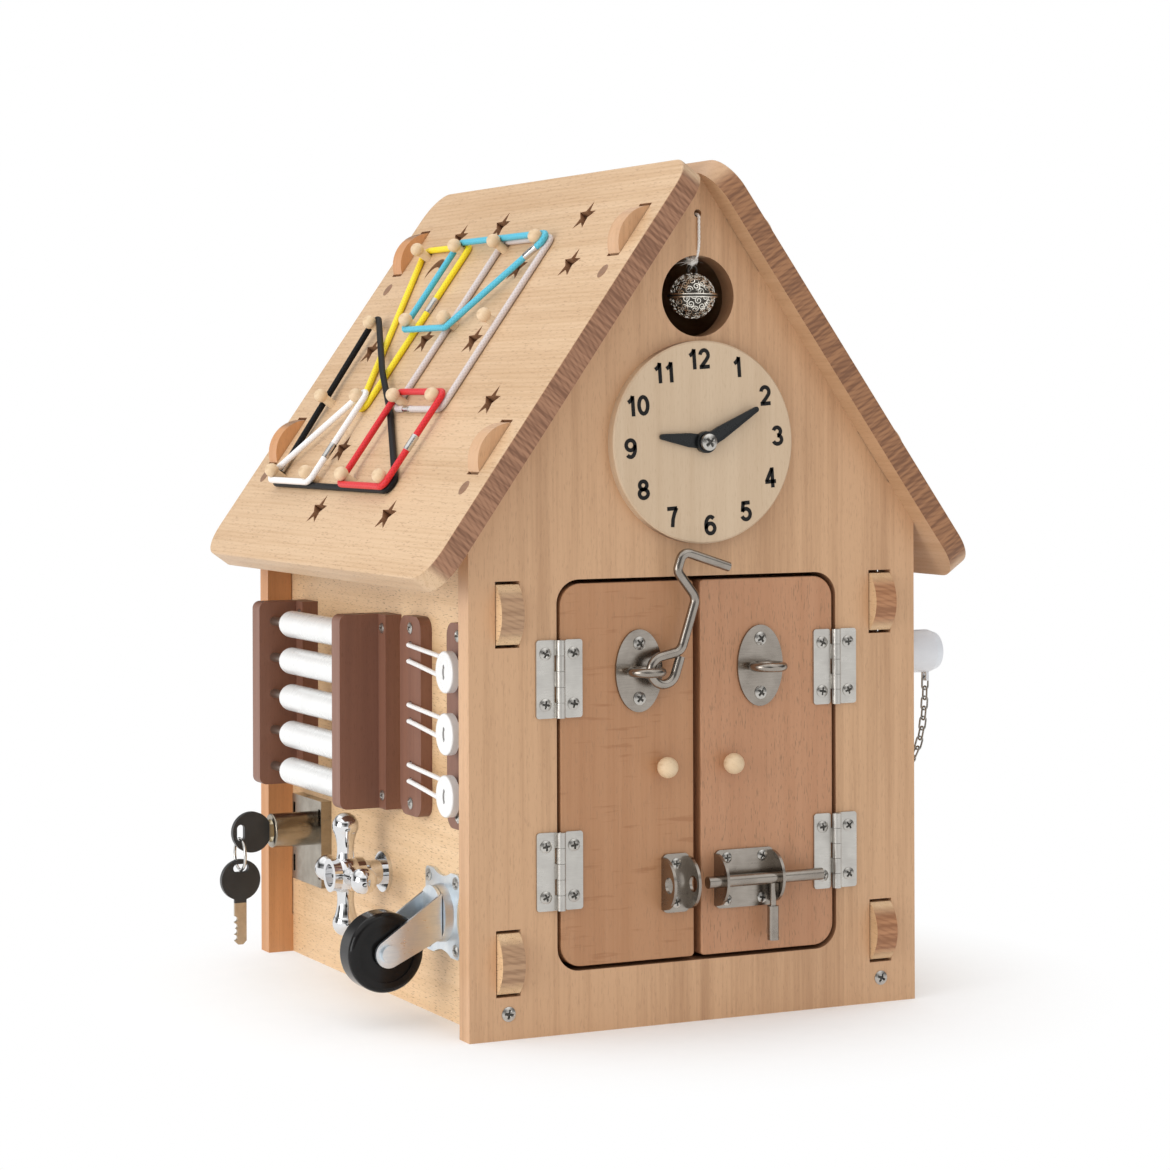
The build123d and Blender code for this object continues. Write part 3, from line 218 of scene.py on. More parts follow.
def added(kind, values, slots=None, **settings):
    # A new node wired to the values, in the tree of the first socket among them; gives its outputs.
    tree = next(value.id_data for value in values if isinstance(value, bpy.types.NodeSocket))
    node = tree.nodes.new("ShaderNode" + kind)
    for label, setting in settings.items():
        setattr(node, label, setting)
    for slot, value in zip(slots or range(len(values)), values):
        wire(value, node.inputs[slot])
    return node.outputs


def maths(operation, *values):
    # One Math node on the given values.
    return added("Math", values, operation=operation)[0]


def timesPlus(*values):
    # First * second + third.
    return maths("MULTIPLY_ADD", *values)


def vectorMaths(operation, *values):
    # One Vector Math node on two values; its outputs are the vector and the number.
    return added("VectorMath", values, operation=operation)


def axisValues(vector):
    # The X, Y and Z of a vector.
    return added("SeparateXYZ", [vector])


def stretched(vector, scale, detail=2.0, roughness=0.55):
    # Noise of the vector times a scale of its own on each axis.
    scaled = vectorMaths("MULTIPLY", vector, scale)[0]
    return added("TexNoise", (scaled, 1.0, detail, roughness), ("Vector", "Scale", "Detail", "Roughness"))["Fac"]


def blend(share, first, second):
    # Colour = first (1 - share) + second * share, on the Mix node's sockets for colours.
    return added("Mix", (share, first, second), (0, 6, 7), data_type="RGBA")[2]


def spread(value, low, high, toLow=0.0, toHigh=1.0):
    # Straight line from low..high to toLow..toHigh, held at its ends.
    return added("MapRange", (value, low, high, toLow, toHigh))[0]


# Noise scales per metre along, across and through the grain, with their detail
grainNoises = {"broad": ((2.5, 26, 26), 2), "streak": ((6, 170, 170), 3), "fibre": ((45, 1100, 1100), 2),
               "dash": ((240, 1900, 1900), 1), "ripple": ((330, 42, 42), 2), "bend": ((5, 60, 60), 2),
               "stripe": ((20, 560, 24), 2, 0.5)}
grainFacts = {"tilt": 0.36, "ringWidth": 0.0026, "bendTurn": 9.0, "staveTurn": 40.0, "ringPower": 2.2,
              "char": (0.33, 0.165, 0.085, 1.0)}


def beechGrain():
    # Tone = long soft bands + streaks + fibres + one tone a stave + ring lines, whose wave is
    # sin(2 pi (across + tilt * through) / ring width + noise); flecks are short dashes above a threshold.
    # End grain has stripes through the thickness, and cut walls are burnt brown.
    inlet, outlet = startGroup(
        "BeechGrain", ("Light", "Dark", "fleck", "endLight", "endDark"),
        ("flecks", "rings", "ripple", "staveWidth", "staves", "endGrain", "burn"))
    vector = inlet["Vector"]
    broad, streak, fibre, dash, ripple, bend, stripe = (
        stretched(vector, *noise) for noise in grainNoises.values())
    spot = axisValues(vector)
    stave = maths("FLOOR", maths("DIVIDE", spot[1], inlet["staveWidth"]))
    lot = added("TexWhiteNoise", [stave], ["W"], noise_dimensions="1D")["Value"]
    tilted = timesPlus(spot[2], grainFacts["tilt"], spot[1])
    bent = maths("MULTIPLY", bend, grainFacts["bendTurn"])
    phase = timesPlus(tilted, circle / grainFacts["ringWidth"], bent)
    phase = timesPlus(lot, grainFacts["staveTurn"], phase)
    ring = timesPlus(maths("SINE", phase), 0.5, 0.5)
    ring = maths("POWER", ring, grainFacts["ringPower"])
    tone = timesPlus(broad, 1.3, -0.4)
    for noise, middle, share in (
            (streak, 0.5, 1.25), (fibre, 0.5, 0.45), (lot, 0.5, inlet["staves"]), (ring, 0.3, inlet["rings"])):
        tone = timesPlus(maths("SUBTRACT", noise, middle), share, tone)
    tone = timesPlus(spread(ripple, 0.6, 0.74), inlet["ripple"], tone)
    colour = blend(spread(tone, 0.0, 1.0), inlet["Light"], inlet["Dark"])
    mark = spread(dash, 0.6, 0.7)
    colour = blend(maths("MULTIPLY", mark, inlet["flecks"]), colour, inlet["fleck"])
    stripe = timesPlus(ring, 0.14, stripe)
    endColour = blend(spread(stripe, 0.4, 0.7), inlet["endLight"], inlet["endDark"])
    colour = blend(spread(inlet["endGrain"], 0.72, 0.9), colour, endColour)
    char = maths("MULTIPLY", inlet["burn"], spread(stripe, 0.3, 0.8, 1.0, 0.86))
    colour = blend(char, colour, grainFacts["char"])
    height = timesPlus(mark, -0.7, maths("MULTIPLY", fibre, 0.6))
    return endGroup(outlet, colour, height, spread(streak, 0.3, 0.7, 0.4, 0.56))


def satinMetal():
    # Colour and gloss from soft smudges and fine scratches: one wide noise and one drawn out along X.
    inlet, outlet = startGroup("SatinMetal", ("Light", "Dark"), ("Rough Low", "Rough High"))
    smudge = stretched(inlet["Vector"], (90, 90, 90), 3)
    scratch = stretched(inlet["Vector"], (180, 2600, 2600))
    pit = stretched(inlet["Vector"], (1500, 1500, 1500), 1)
    tone = timesPlus(smudge, 1.1, timesPlus(scratch, 0.5, -0.3))
    colour = blend(spread(tone, 0.1, 0.9), inlet["Light"], inlet["Dark"])
    rough = spread(tone, 0.2, 0.8, inlet["Rough Low"], inlet["Rough High"])
    height = timesPlus(scratch, 0.6, maths("MULTIPLY", pit, 0.4))
    return endGroup(outlet, colour, height, rough)


def mouldedSkin():
    # Cloudy tone with a fine stipple: two noises for the colour, the finer one for the height.
    inlet, outlet = startGroup("MouldedSkin", ("Light", "Dark"), ("Rough Low", "Rough High"))
    cloud = stretched(inlet["Vector"], (70, 70, 70), 3)
    stipple = stretched(inlet["Vector"], (1700, 1700, 1700))
    tone = timesPlus(stipple, 0.35, cloud)
    colour = blend(spread(tone, 0.45, 0.95), inlet["Light"], inlet["Dark"])
    rough = spread(tone, 0.4, 1.0, inlet["Rough Low"], inlet["Rough High"])
    return endGroup(outlet, colour, stipple, rough)


def braidWeave():
    # Two families of strands cross on the UV map: height = max of |sin pi(n u + v)| and |sin pi(n u - v)|.
    inlet, outlet = startGroup("BraidWeave", ("Light", "Dark"), ("Strands", "Pitch"))
    spot = axisValues(inlet["Vector"])
    strand = maths("MULTIPLY", spot[0], inlet["Strands"])
    along = maths("DIVIDE", spot[1], inlet["Pitch"])
    phases = [maths("MULTIPLY", maths(way, strand, along), math.pi) for way in ("ADD", "SUBTRACT")]
    height = maths("MAXIMUM", *[maths("ABSOLUTE", maths("SINE", phase)) for phase in phases])
    fuzz = stretched(inlet["Vector"], (60, 9, 1))
    tone = timesPlus(maths("SUBTRACT", fuzz, 0.5), 0.5, maths("SUBTRACT", 1.0, height))
    colour = blend(spread(tone, 0.0, 0.8), inlet["Light"], inlet["Dark"])
    return endGroup(outlet, colour, height, spread(tone, 0.0, 1.0, 0.45, 0.75))


grainGroup, metalGroup, skinGroup, braidGroup = beechGrain(), satinMetal(), mouldedSkin(), braidWeave()


def dressed(name, group, values, coordinates="Object", bump=0.1, bumpDepth=0.0002, settings=None,
            turn=(0, 0, 0), shift=(0, 0, 0)):
    # Coordinates, a Mapping that turns them, the shared group, a Bump and the shader.
    material = bpy.data.materials.new(name)
    material.use_nodes = True
    tree = material.node_tree
    tree.nodes.clear()
    out, shader, where, mapping, block, relief = (tree.nodes.new("ShaderNode" + kind) for kind in (
        "OutputMaterial", "BsdfPrincipled", "TexCoord", "Mapping", "Group", "Bump"))
    block.node_tree = group
    for label, value in values.items():
        block.inputs[label].default_value = (*value, 1.0) if isinstance(value, tuple) else value
    for label, value in (settings or {}).items():
        shader.inputs[label].default_value = value
    for value, socket in (
            (shift, mapping.inputs["Location"]), (turn, mapping.inputs["Rotation"]),
            (bump, relief.inputs["Strength"]), (bumpDepth, relief.inputs["Distance"]),
            (where.outputs[coordinates], mapping.inputs["Vector"]), (mapping.outputs[0], block.inputs["Vector"]),
            (block.outputs["Color"], shader.inputs["Base Color"]), (block.outputs["Rough"], shader.inputs["Roughness"]),
            (block.outputs["Height"], relief.inputs["Height"]), (relief.outputs[0], shader.inputs["Normal"]),
            (shader.outputs[0], out.inputs["Surface"])):
        wire(value, socket)
    return {"material": material, "shader": shader.inputs, "block": block, "where": where.outputs}


def within(point, axis, low, high):
    # One between low and high along an axis, nought outside, in metres: the product of two steep ramps.
    ramp = 0.0005
    reach = vectorMaths("DOT_PRODUCT", point, axis)["Value"]
    falling = spread(reach, high - ramp, high, 1.0, 0.0)
    return maths("MULTIPLY", spread(reach, low, low + ramp), falling)


def facing(normal, axis):
    # How far a face looks along an axis: |normal . axis|.
    return maths("ABSOLUTE", vectorMaths("DOT_PRODUCT", normal, axis)["Value"])


grainUsual = {"fleck": (0.3, 0.16, 0.08), "flecks": 0.5, "rings": 0.1, "ripple": 0.0, "staveWidth": 0.07,
              "staves": 0.25, "burn": 0.0}


def wood(name, light, dark, along, across, endTones=((0.3, 0.17, 0.1), (0.2, 0.105, 0.058)), bump=0.16,
         shift=(0, 0, 0), burnt=None, **others):
    # Beech with its own grain direction: the Mapping turns (along, across, through) on to X, Y and Z.
    # The end grain mask is |normal . along|. Cut walls have |normal . face| near nought inside the board's edges.
    along, across = unit(along), unit(across)
    values = {**grainUsual, **others, "Light": light, "Dark": dark, "endLight": endTones[0], "endDark": endTones[1]}
    made = dressed(name, grainGroup, values, bump=bump, settings={"Coat Weight": 0.08, "Coat Roughness": 0.35},
                   turn=Matrix([along, across, np.cross(along, across)]).to_euler("XYZ"), shift=shift)
    sockets, where = made["block"].inputs, made["where"]
    wire(facing(where["Normal"], along), sockets["endGrain"])
    if burnt:
        face, *ranges = burnt
        wall = spread(facing(where["Normal"], face), 0.3, 0.6, 1.0, 0.0)
        for axis, low, high in ranges:
            wall = maths("MULTIPLY", wall, within(where["Object"], axis, low, high))
        wire(wall, sockets["burn"])
    return made["material"]


def tones(light, dark, low, high):
    # The values of the metal and moulded groups: two colours and the ends of the roughness.
    return {"Light": light, "Dark": dark, "Rough Low": low, "Rough High": high}


def metal(name, light, dark, low, high, bump=0.05, recessShade=False):
    # Satin or polished metal, with painted shade darkening the recesses where the piece carries it.
    made = dressed(name, metalGroup, tones(light, dark, low, high), bump=bump, bumpDepth=0.00008,
                   settings={"Metallic": 1.0})
    if recessShade:
        # Painted shade: the colour goes towards near-black (0.035, 0.033, 0.03) as far as the recess shade value
        # reaches.
        paintedShade = made["material"].node_tree.nodes.new("ShaderNodeAttribute")
        paintedShade.attribute_name = "recessShade"
        colour = blend(paintedShade.outputs["Fac"], made["block"].outputs["Color"], (0.035, 0.033, 0.03, 1.0))
        wire(colour, made["shader"]["Base Color"])
    return made["material"]


def plastic(name, light, dark, low, high, settings=None):
    # Moulded plastic, rubber or paint.
    return dressed(name, skinGroup, tones(light, dark, low, high), bump=0.04, bumpDepth=0.0001,
                   settings=settings)["material"]


def braid(name, light, dark, strands, pitch, bump, settings=None):
    # Braided elastic or cotton on the piece's own UV map.
    return dressed(name, braidGroup, {"Light": light, "Dark": dark, "Strands": strands, "Pitch": pitch},
                   coordinates="UV", bump=bump, settings=settings)["material"]


def wear(material, names):
    # The material on carried-over CAD nodes, whose names stand in one line.
    for name in names.split():
        nodes[name].data.materials.clear()
        nodes[name].data.materials.append(material)


slopeDown = np.array([-0.57928, 0.0, -0.81513])
slopeOut = np.array([-0.81513, 0.0, 0.57928])
slopeMirror = np.array([-1.0, 1.0, 1.0])
ridge = np.array([-9.7816, 0.0, 427.443])  # top edge of the left panel, in drawn millimetres
ridgeDrop = float(ridge @ slopeDown) * mm  # the ridge's own reach along the slope
roofCut = (slopeOut, (slopeDown, ridgeDrop + 0.006, ridgeDrop + 0.244), (yAxis, -0.014, 0.29))
frontCut = (yAxis, (xAxis, -0.095, 0.095), (zAxis, 0.02, 0.379))

# Each wood: the nodes that wear it, light and dark tone, the ways along and across its grain, what differs
woodFacts = {
    "frontBeech": ("front_wall", (0.612, 0.369, 0.205), (0.386, 0.204, 0.101), zAxis, xAxis, dict(
        staveWidth=0.083, staves=0.35, flecks=0.26, endTones=((0.62, 0.4, 0.245), (0.5, 0.3, 0.17)),
        burnt=frontCut)),
    "backBeech": ("back_wall", (0.606, 0.289, 0.119), (0.477, 0.209, 0.078), zAxis, xAxis, dict(
        flecks=0.3, shift=(1.3, 0.4, 0), endTones=((0.36, 0.2, 0.105), (0.24, 0.125, 0.064)))),
    "sideBeech": ("left_wall", (0.77, 0.538, 0.316), (0.6, 0.378, 0.188), yAxis, zAxis, dict(
        flecks=0.75, ripple=0.12, shift=(0.3, 0.1, 0), endTones=((0.48, 0.29, 0.164), (0.32, 0.18, 0.095)))),
    "rightSideBeech": ("right_wall", (0.7, 0.48, 0.28), (0.57, 0.36, 0.185), yAxis, zAxis, dict(
        flecks=0.4, ripple=0.12, shift=(0.8, 0.5, 0), endTones=((0.46, 0.215, 0.098), (0.29, 0.12, 0.048)))),
    "roofBeech": ("left_roof", (0.65, 0.45, 0.275), (0.455, 0.27, 0.132), yAxis, slopeDown, dict(
        staveWidth=0.062, staves=0.3, rings=0.22, endTones=((0.38, 0.19, 0.104), (0.2, 0.086, 0.042)),
        burnt=roofCut)),
    "rightRoofBeech": ("right_roof", (0.56, 0.345, 0.195), (0.43, 0.24, 0.12), yAxis, slopeDown * slopeMirror, dict(
        rings=0.16, shift=(0.5, 0.02, 0), flecks=0.28, endTones=((0.36, 0.168, 0.074), (0.19, 0.078, 0.033)))),
    "leftDoorBeech": ("left_door", (0.468, 0.236, 0.113), (0.381, 0.173, 0.0745), zAxis, xAxis, dict(
        ripple=0.95, flecks=0.35, staveWidth=0.052, shift=(0.9, 0.02, 0))),
    "rightDoorBeech": ("right_door", (0.505, 0.254, 0.133), (0.419, 0.193, 0.093), zAxis, xAxis, dict(
        ripple=0.05, flecks=0.85, staveWidth=0.2, shift=(1.7, 0.0, 0))),
    "clockBirch": ("clock_face", (0.64, 0.485, 0.33), (0.545, 0.39, 0.25), zAxis, xAxis, dict(
        flecks=0.14, staves=0.0, rings=0.05, bump=0.06, shift=(2.3, 0, 0))),
    "pegWood": ("roof_pegs left_knob right_knob", (0.76, 0.58, 0.38), (0.66, 0.47, 0.28), slopeOut, slopeDown, dict(
        flecks=0.16, staves=0.0, rings=0.04, bump=0.06, endTones=((0.7, 0.52, 0.33), (0.6, 0.42, 0.25)))),
    "rackStain": (
        "rack_boards loop_strip button_strip", (0.235, 0.105, 0.066), (0.175, 0.074, 0.046), zAxis, yAxis, dict(
        fleck=(0.09, 0.035, 0.02), flecks=0.25, rings=0.04, staves=0.0, bump=0.1, shift=(0.7, 0, 0),
        endTones=((0.21, 0.092, 0.058), (0.16, 0.067, 0.041)))),
    "floorBeech": ("floor_board", (0.6, 0.4, 0.235), (0.48, 0.3, 0.165), xAxis, yAxis, dict(shift=(1.1, 0, 0))),
}
for label, (worn, *tonesAndWays, others) in woodFacts.items():
    wear(wood(label, *tonesAndWays, **others), worn)

# Each metal and plastic: the nodes that wear it, light and dark tone, roughness from and to, what differs
metalFacts = {
    "satinNickel": ("cabin_hook hook_eye catch_eye bolt_body bolt_keeper bolt_rod",
        (0.39, 0.352, 0.31), (0.25, 0.22, 0.19), 0.16, 0.3),
    "hingeSteel": ("frame_leaves left_door_leaves right_door_leaves hinge_pins",
        (0.6, 0.58, 0.54), (0.46, 0.44, 0.41), 0.24, 0.38),
    "blueZinc": ("caster_plate caster_fork caster_axle", (0.88, 0.91, 0.92), (0.6, 0.68, 0.75), 0.26, 0.42),
    "tapChrome": ("tap_stem tap_handle", (0.82, 0.82, 0.82), (0.7, 0.7, 0.71), 0.03, 0.08, 0.01),
    "lockNickel": ("lock_case", (0.42, 0.375, 0.305), (0.24, 0.205, 0.16), 0.16, 0.3),
    "coreBrass": ("lock_core", (0.72, 0.6, 0.38), (0.55, 0.44, 0.26), 0.18, 0.34),
    "rodSteel": ("rack_rods", (0.42, 0.36, 0.31), (0.3, 0.25, 0.21), 0.3, 0.45),
    "ringSteel": ("key_ring chain_eye", (0.72, 0.71, 0.68), (0.55, 0.54, 0.52), 0.12, 0.26),
    "darkSilver": ("bell_ball", (0.11, 0.1, 0.085), (0.05, 0.045, 0.04), 0.4, 0.6),
    # The screw heads' metal reads the painted shade in their cross recesses.
    "screwSteel": ("clock_pin", (0.6, 0.58, 0.54), (0.44, 0.42, 0.39), 0.22, 0.38, 0.05, True),
}
plasticFacts = {
    "whitePlastic": ("buttons roller_1 roller_2 roller_3 roller_4 roller_5",
        (0.8, 0.8, 0.79), (0.72, 0.72, 0.71), 0.22, 0.34, {"Coat Weight": 0.3}),
    "plugPlastic": ("plug", (0.8, 0.82, 0.85), (0.73, 0.75, 0.79), 0.3, 0.42),
    "wheelBlack": ("caster_wheel", (0.006, 0.006, 0.006), (0.013, 0.012, 0.012), 0.07, 0.14,
        {"Specular IOR Level": 0.22}),
    "handBlack": ("hour_hand minute_hand", (0.006, 0.007, 0.008), (0.013, 0.014, 0.015), 0.22, 0.34,
        {"Specular IOR Level": 0.3}),
}
looks = {}
for facts, maker in ((metalFacts, metal), (plasticFacts, plastic)):
    for label, (worn, *values) in facts.items():
        looks[label] = maker(label, *values)
        wear(looks[label], worn)


def keyMetal(name, axisIndex, border, sign):
    # Black moulded bow on one side of a border along one axis, plated blade on the other.
    made = dressed(name, skinGroup, tones((0.014, 0.014, 0.014), (0.028, 0.027, 0.026), 0.32, 0.45), bump=0.05,
                   bumpDepth=0.0001)
    spot, steep = made["where"]["Object"], 4000.0
    past = maths("SUBTRACT", axisValues(spot)[axisIndex], border)
    blade = spread(maths("MULTIPLY", past, sign * steep), -0.5, 0.5)
    scratch = stretched(spot, (300, 2500, 300))
    plated = blend(scratch, (0.62, 0.5, 0.36, 1.0), (0.42, 0.33, 0.23, 1.0))
    colour = blend(blade, made["block"].outputs["Color"], plated)
    wire(colour, made["shader"]["Base Color"])
    wire(blade, made["shader"]["Metallic"])
    return made["material"]


keyFacts = {"lockBorder": -0.1405, "spareBow": 0.0235}  # metres: the blade's start in X, and the bow's height in Z
wear(keyMetal("keyInLock", 0, keyFacts["lockBorder"], 1.0), "lock_key")
wear(keyMetal("keyOnRing", 2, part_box("spare_key")[1][2] - keyFacts["spareBow"], -1.0), "spare_key")
print("carried-over nodes dressed")


# Camera at the photograph's view
cameraFacts = {"place": (-0.72625, -1.36356, 0.30755), "yaw": -26.054, "roll": -0.18, "lens": 95.455,
               "drop": -0.1574, "sensor": 36.0}
cameraData = bpy.data.cameras.new("photoCamera")
cameraData.sensor_width = cameraFacts["sensor"]
cameraData.lens = cameraFacts["lens"]
cameraData.shift_y = cameraFacts["drop"]
camera = linked("photoCamera", cameraData)
aim = Euler((math.pi / 2, 0, math.radians(cameraFacts["yaw"]))).to_matrix()
camera.rotation_euler = (aim @ Matrix.Rotation(math.radians(cameraFacts["roll"]), 3, "Z")).to_euler()
camera.location = cameraFacts["place"]
scene.camera = camera
print("camera set")


# Cotton cord of the bell: over the string hole in front and behind, both ends in the bail
cordFacts = {
    "radius": 0.8, "strands": {"lay": 2.4, "lobeShare": 0.28},
    "route": [(0, 5.05, 376.5), (0, -1.2, 378.0), (0, -1.2, 396.6), (0, -1.2, 400.4), (0, 13.2, 400.4),
              (0, 13.2, 396.6), (0, 13.2, 378.0), (0, 6.95, 376.5)]}
cottonWhite = braid("cottonTwine", (0.86, 0.83, 0.78), (0.62, 0.58, 0.52), 3, 1.6, bump=0.7)


def routeLine(name, route):
    # The route's points are the control points of one NURBS line of order 3, read back as a mesh.
    data = bpy.data.curves.new(name, "CURVE")
    data.dimensions = "3D"
    spline = data.splines.new("NURBS")
    spline.points.add(len(route) - 1)
    spline.points.foreach_set("co", np.hstack([place(route), np.ones((len(route), 1))]).ravel())
    spline.order_u = 3
    spline.use_endpoint_u = True
    spline.resolution_u = 12
    holder = linked(name, data)
    bpy.context.view_layer.update()
    line = bpy.data.meshes.new_from_object(holder.evaluated_get(bpy.context.evaluated_depsgraph_get()))
    points = np.empty(len(line.vertices) * 3)
    line.vertices.foreach_get("co", points)
    bpy.data.objects.remove(holder)
    bpy.data.curves.remove(data)
    bpy.data.meshes.remove(line)
    return points.reshape(-1, 3) / mm - wallShift


cordLine = routeLine("bellCordLine", cordFacts["route"])
cordSkin = tube(cordLine, xAxis, cordFacts["radius"], sides=14, **cordFacts["strands"])
bellCord = makePiece("bellCord", [cordSkin], cottonWhite, "house")
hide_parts("bell_cord")


# Elastic bands round the pegs of the left roof panel
pegFacts = {"first": np.array([48.6, 94.4]), "pitch": np.array([50.2, 51.9])}  # down the slope and in depth
bandFacts = {"radius": 1.75, "round": 4.28, "lifts": (1.8, 5.3), "arcPoints": 9, "sidePoints": 38,
             # The black band's first side goes over yellow and under red: shares of the side, and lifts there
             "over": {"black": ((0.0, 0.25, 0.36, 0.59, 1.0), (5.3, 5.4, 5.4, 1.8, 1.8))}}
# Each band: its pegs, its lift at each, the pegs before and after its crimp sleeve, the share of the way, two tones
bandRoutes = {
    "blue": ("A2 A4 B3 B2", (1, 1, 1, 1), "A4 B3", 0.09, (0.085, 0.5, 0.66), (0.045, 0.37, 0.53)),
    "red": ("C3 C4 D4 D3", (1, 1, 1, 1), "C4 D4", 0.55, (0.7, 0.012, 0.02), (0.5, 0.006, 0.012)),
    "white": ("C2 D2 D1", (1, 1, 1), "C2 D2", 0.68, (0.88, 0.87, 0.87), (0.72, 0.71, 0.71)),
    "yellow": ("A1 A2 C2", (0, 0, 0), "A2 C2", 0.36, (0.93, 0.74, 0.012), (0.78, 0.58, 0.006)),
    "pink": ("A3 A4 C4 C3", (0, 0, 0, 0), "C4 C3", 0.74, (0.66, 0.59, 0.57), (0.5, 0.44, 0.425)),
    "black": ("B1 D4 D1", (1, 0, 0), "D1 B1", 0.08, (0.008, 0.008, 0.009), (0.02, 0.02, 0.021)),
}
crimpFacts = {"radius": 2.0, "half": 4.6, "reach": np.array([-1.0, -0.96, -0.9, -0.5, 0.0, 0.5, 0.9, 0.96, 1.0]),
              "girth": np.array([0.86, 0.97, 1.0, 0.97, 0.99, 0.97, 1.0, 0.97, 0.86])}


def onRoof(slopes, depths, rise):
    # Point of the left panel = ridge + slope * down + rise * out, at its own depth.
    slopes, depths, rise = (np.asarray(values, float)[..., None] for values in (slopes, depths, rise))
    return ridge + slopes * slopeDown + rise * slopeOut + depths * yAxis


def pegSpot(name):
    # First peg + pitch * count: row A to D down the slope, 1 to 4 from the back to the front.
    return pegFacts["first"] + pegFacts["pitch"] * ("ABCD".index(name[0]), 4 - int(name[1]))


def bandLoop(spots, offset, lifts, over):
    # Outline of the pegs: each side moved out by the offset along its normal, joined by arcs round the pegs.
    # Each point's lift goes straight from one peg's to the next, or by the given shares along the first side.
    following = np.roll(spots, -1, 0)
    turnWay = np.sign(np.sum(spots[:, 0] * following[:, 1] - following[:, 0] * spots[:, 1]))
    sides = unit(following - spots)
    outs = turnWay * np.stack([sides[:, 1], -sides[:, 0]], -1)
    share = np.linspace(0, 1, bandFacts["sidePoints"])[1:-1]
    runs, rises = [], []
    for index, spot in enumerate(spots):
        start, end = (math.atan2(out[1], out[0]) for out in (outs[index - 1], outs[index]))
        sweep = (turnWay * (end - start)) % circle * turnWay
        angles = start + sweep * np.linspace(0, 1, bandFacts["arcPoints"])
        bend = spot + offset * np.stack([np.cos(angles), np.sin(angles)], -1)
        goal = following[index] + offset * outs[index]
        runs += [bend, bend[-1] + share[:, None] * (goal - bend[-1])]
        straight = ((0, 1), (lifts[index], lifts[(index + 1) % len(spots)]))
        shares, heights = over if over and index == 0 else straight
        rises += [np.full(bandFacts["arcPoints"], lifts[index]), np.interp(share, shares, heights)]
    return np.vstack(runs), np.concatenate(rises), outs


crimpMetal = metal("crimpSleeve", (0.74, 0.73, 0.71), (0.56, 0.55, 0.53), 0.18, 0.32)
reach = crimpFacts["reach"] * crimpFacts["half"]
for tone, (route, levels, crimpLeg, crimpShare, light, dark) in bandRoutes.items():
    names = route.split()
    spots = np.array([pegSpot(name) for name in names])
    lifts = [bandFacts["lifts"][level] for level in levels]
    loop, rises, outs = bandLoop(spots, bandFacts["round"], lifts, bandFacts["over"].get(tone))
    bandSkin = tube(onRoof(*loop.T, rises), slopeOut, bandFacts["radius"], sides=14, closed=True)
    shine = {"Specular IOR Level": 0.12} if tone == "black" else {"Coat Weight": 0.15, "Coat Roughness": 0.4}
    elastic = braid(tone + "Elastic", light, dark, 5, 2.2, bump=0.18, settings=shine)
    band = makePiece(tone + "Band", [bandSkin], elastic, "house")
    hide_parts(tone + "_band")
    leg, end = (names.index(name) for name in crimpLeg.split())
    side, climb = spots[end] - spots[leg], lifts[end] - lifts[leg]
    line = spots[leg] + crimpShare * side + bandFacts["round"] * outs[leg] + reach[:, None] * unit(side)
    rise = lifts[leg] + climb * (crimpShare + reach / np.linalg.norm(side))
    crimpSkin = tube(onRoof(*line.T, rise), slopeOut, crimpFacts["radius"] * crimpFacts["girth"], sides=16)
    makePiece(tone + "Crimp", [crimpSkin], crimpMetal, "house")
print("bands and crimp sleeves made")


# Button loops: two strands from the strip's holes, round the button's shank; each turn is a depth and a lift
loopFacts = {
    "radius": 1.2, "heights": 114.8 + 30.3 * np.arange(3), "face": -118.25, "hole": 5.0,
    "turns": [(91.5, 9.2), (88.0, 8.95), (40.0, 5.5), (31.5, 5.2), (27.2, 4.9), (27.2, -4.9), (31.5, -5.2),
              (40.0, -4.6), (88.0, 0.95), (91.5, 0.8)]}
loopElastic = braid("loopElastic", (0.88, 0.87, 0.86), (0.7, 0.69, 0.68), 5, 2.0, bump=0.25)
loopSkins = []
for height in loopFacts["heights"]:
    turns = [(loopFacts["face"], depth, height + lift) for depth, lift in loopFacts["turns"]]
    start, end = ((loopFacts["face"] + loopFacts["hole"], *turns[index][1:]) for index in (0, -1))
    line = routeLine("loopLine", [start, *turns, end])
    loopSkins.append(tube(line, unit((1.0, -1.0, 0.0)), loopFacts["radius"], sides=12))
buttonLoops = makePiece("buttonLoops", loopSkins, loopElastic, "house")
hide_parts("button_loops")

# Thread through the buttons' holes: low arches in front of the heads
threadFacts = {"radius": 0.42, "depth": 31.8, "front": -123.85, "half": 2.6, "rise": 0.75, "points": 13}
threadGrey = braid("buttonThread", (0.3, 0.29, 0.28), (0.14, 0.135, 0.13), 3, 1.0, bump=0.4)
sweep = np.linspace(0, math.pi, threadFacts["points"])
arch = np.stack([threadFacts["front"] - threadFacts["rise"] * np.sin(sweep),
                 np.full(threadFacts["points"], threadFacts["depth"]), threadFacts["half"] * np.cos(sweep)], -1)
threadSkins = [tube(arch + height * zAxis, yAxis, threadFacts["radius"], sides=8) for height in loopFacts["heights"]]
makePiece("buttonThreads", threadSkins, threadGrey, "house")
print("button loops made")


# Clock numerals: flat strokes of one width, on a grid of one digit's height
def ribbon(path, width, front, back, closed=False):
    # Strip in the front plane: path +- half the width along its normal, from the back to the front depth.
    path = np.asarray(path, float)
    forward = heading(path, closed)
    normal = np.stack([-forward[:, 1], forward[:, 0]], -1) * width / 2
    corners = np.stack([path + normal, path + normal, path - normal, path - normal], 1)
    depth = np.broadcast_to(np.array([front, back, back, front], float), corners.shape[:2])
    return skin(np.stack([corners[..., 0], depth, corners[..., 1]], -1), closed)


def arc(x, y, width, height, start, end, count=21):
    # Points of an ellipse from one angle to another: centre + (width cos a, height sin a).
    angle = np.radians(np.linspace(start, end, count))
    return np.stack([x + width * np.cos(angle), y + height * np.sin(angle)], -1)


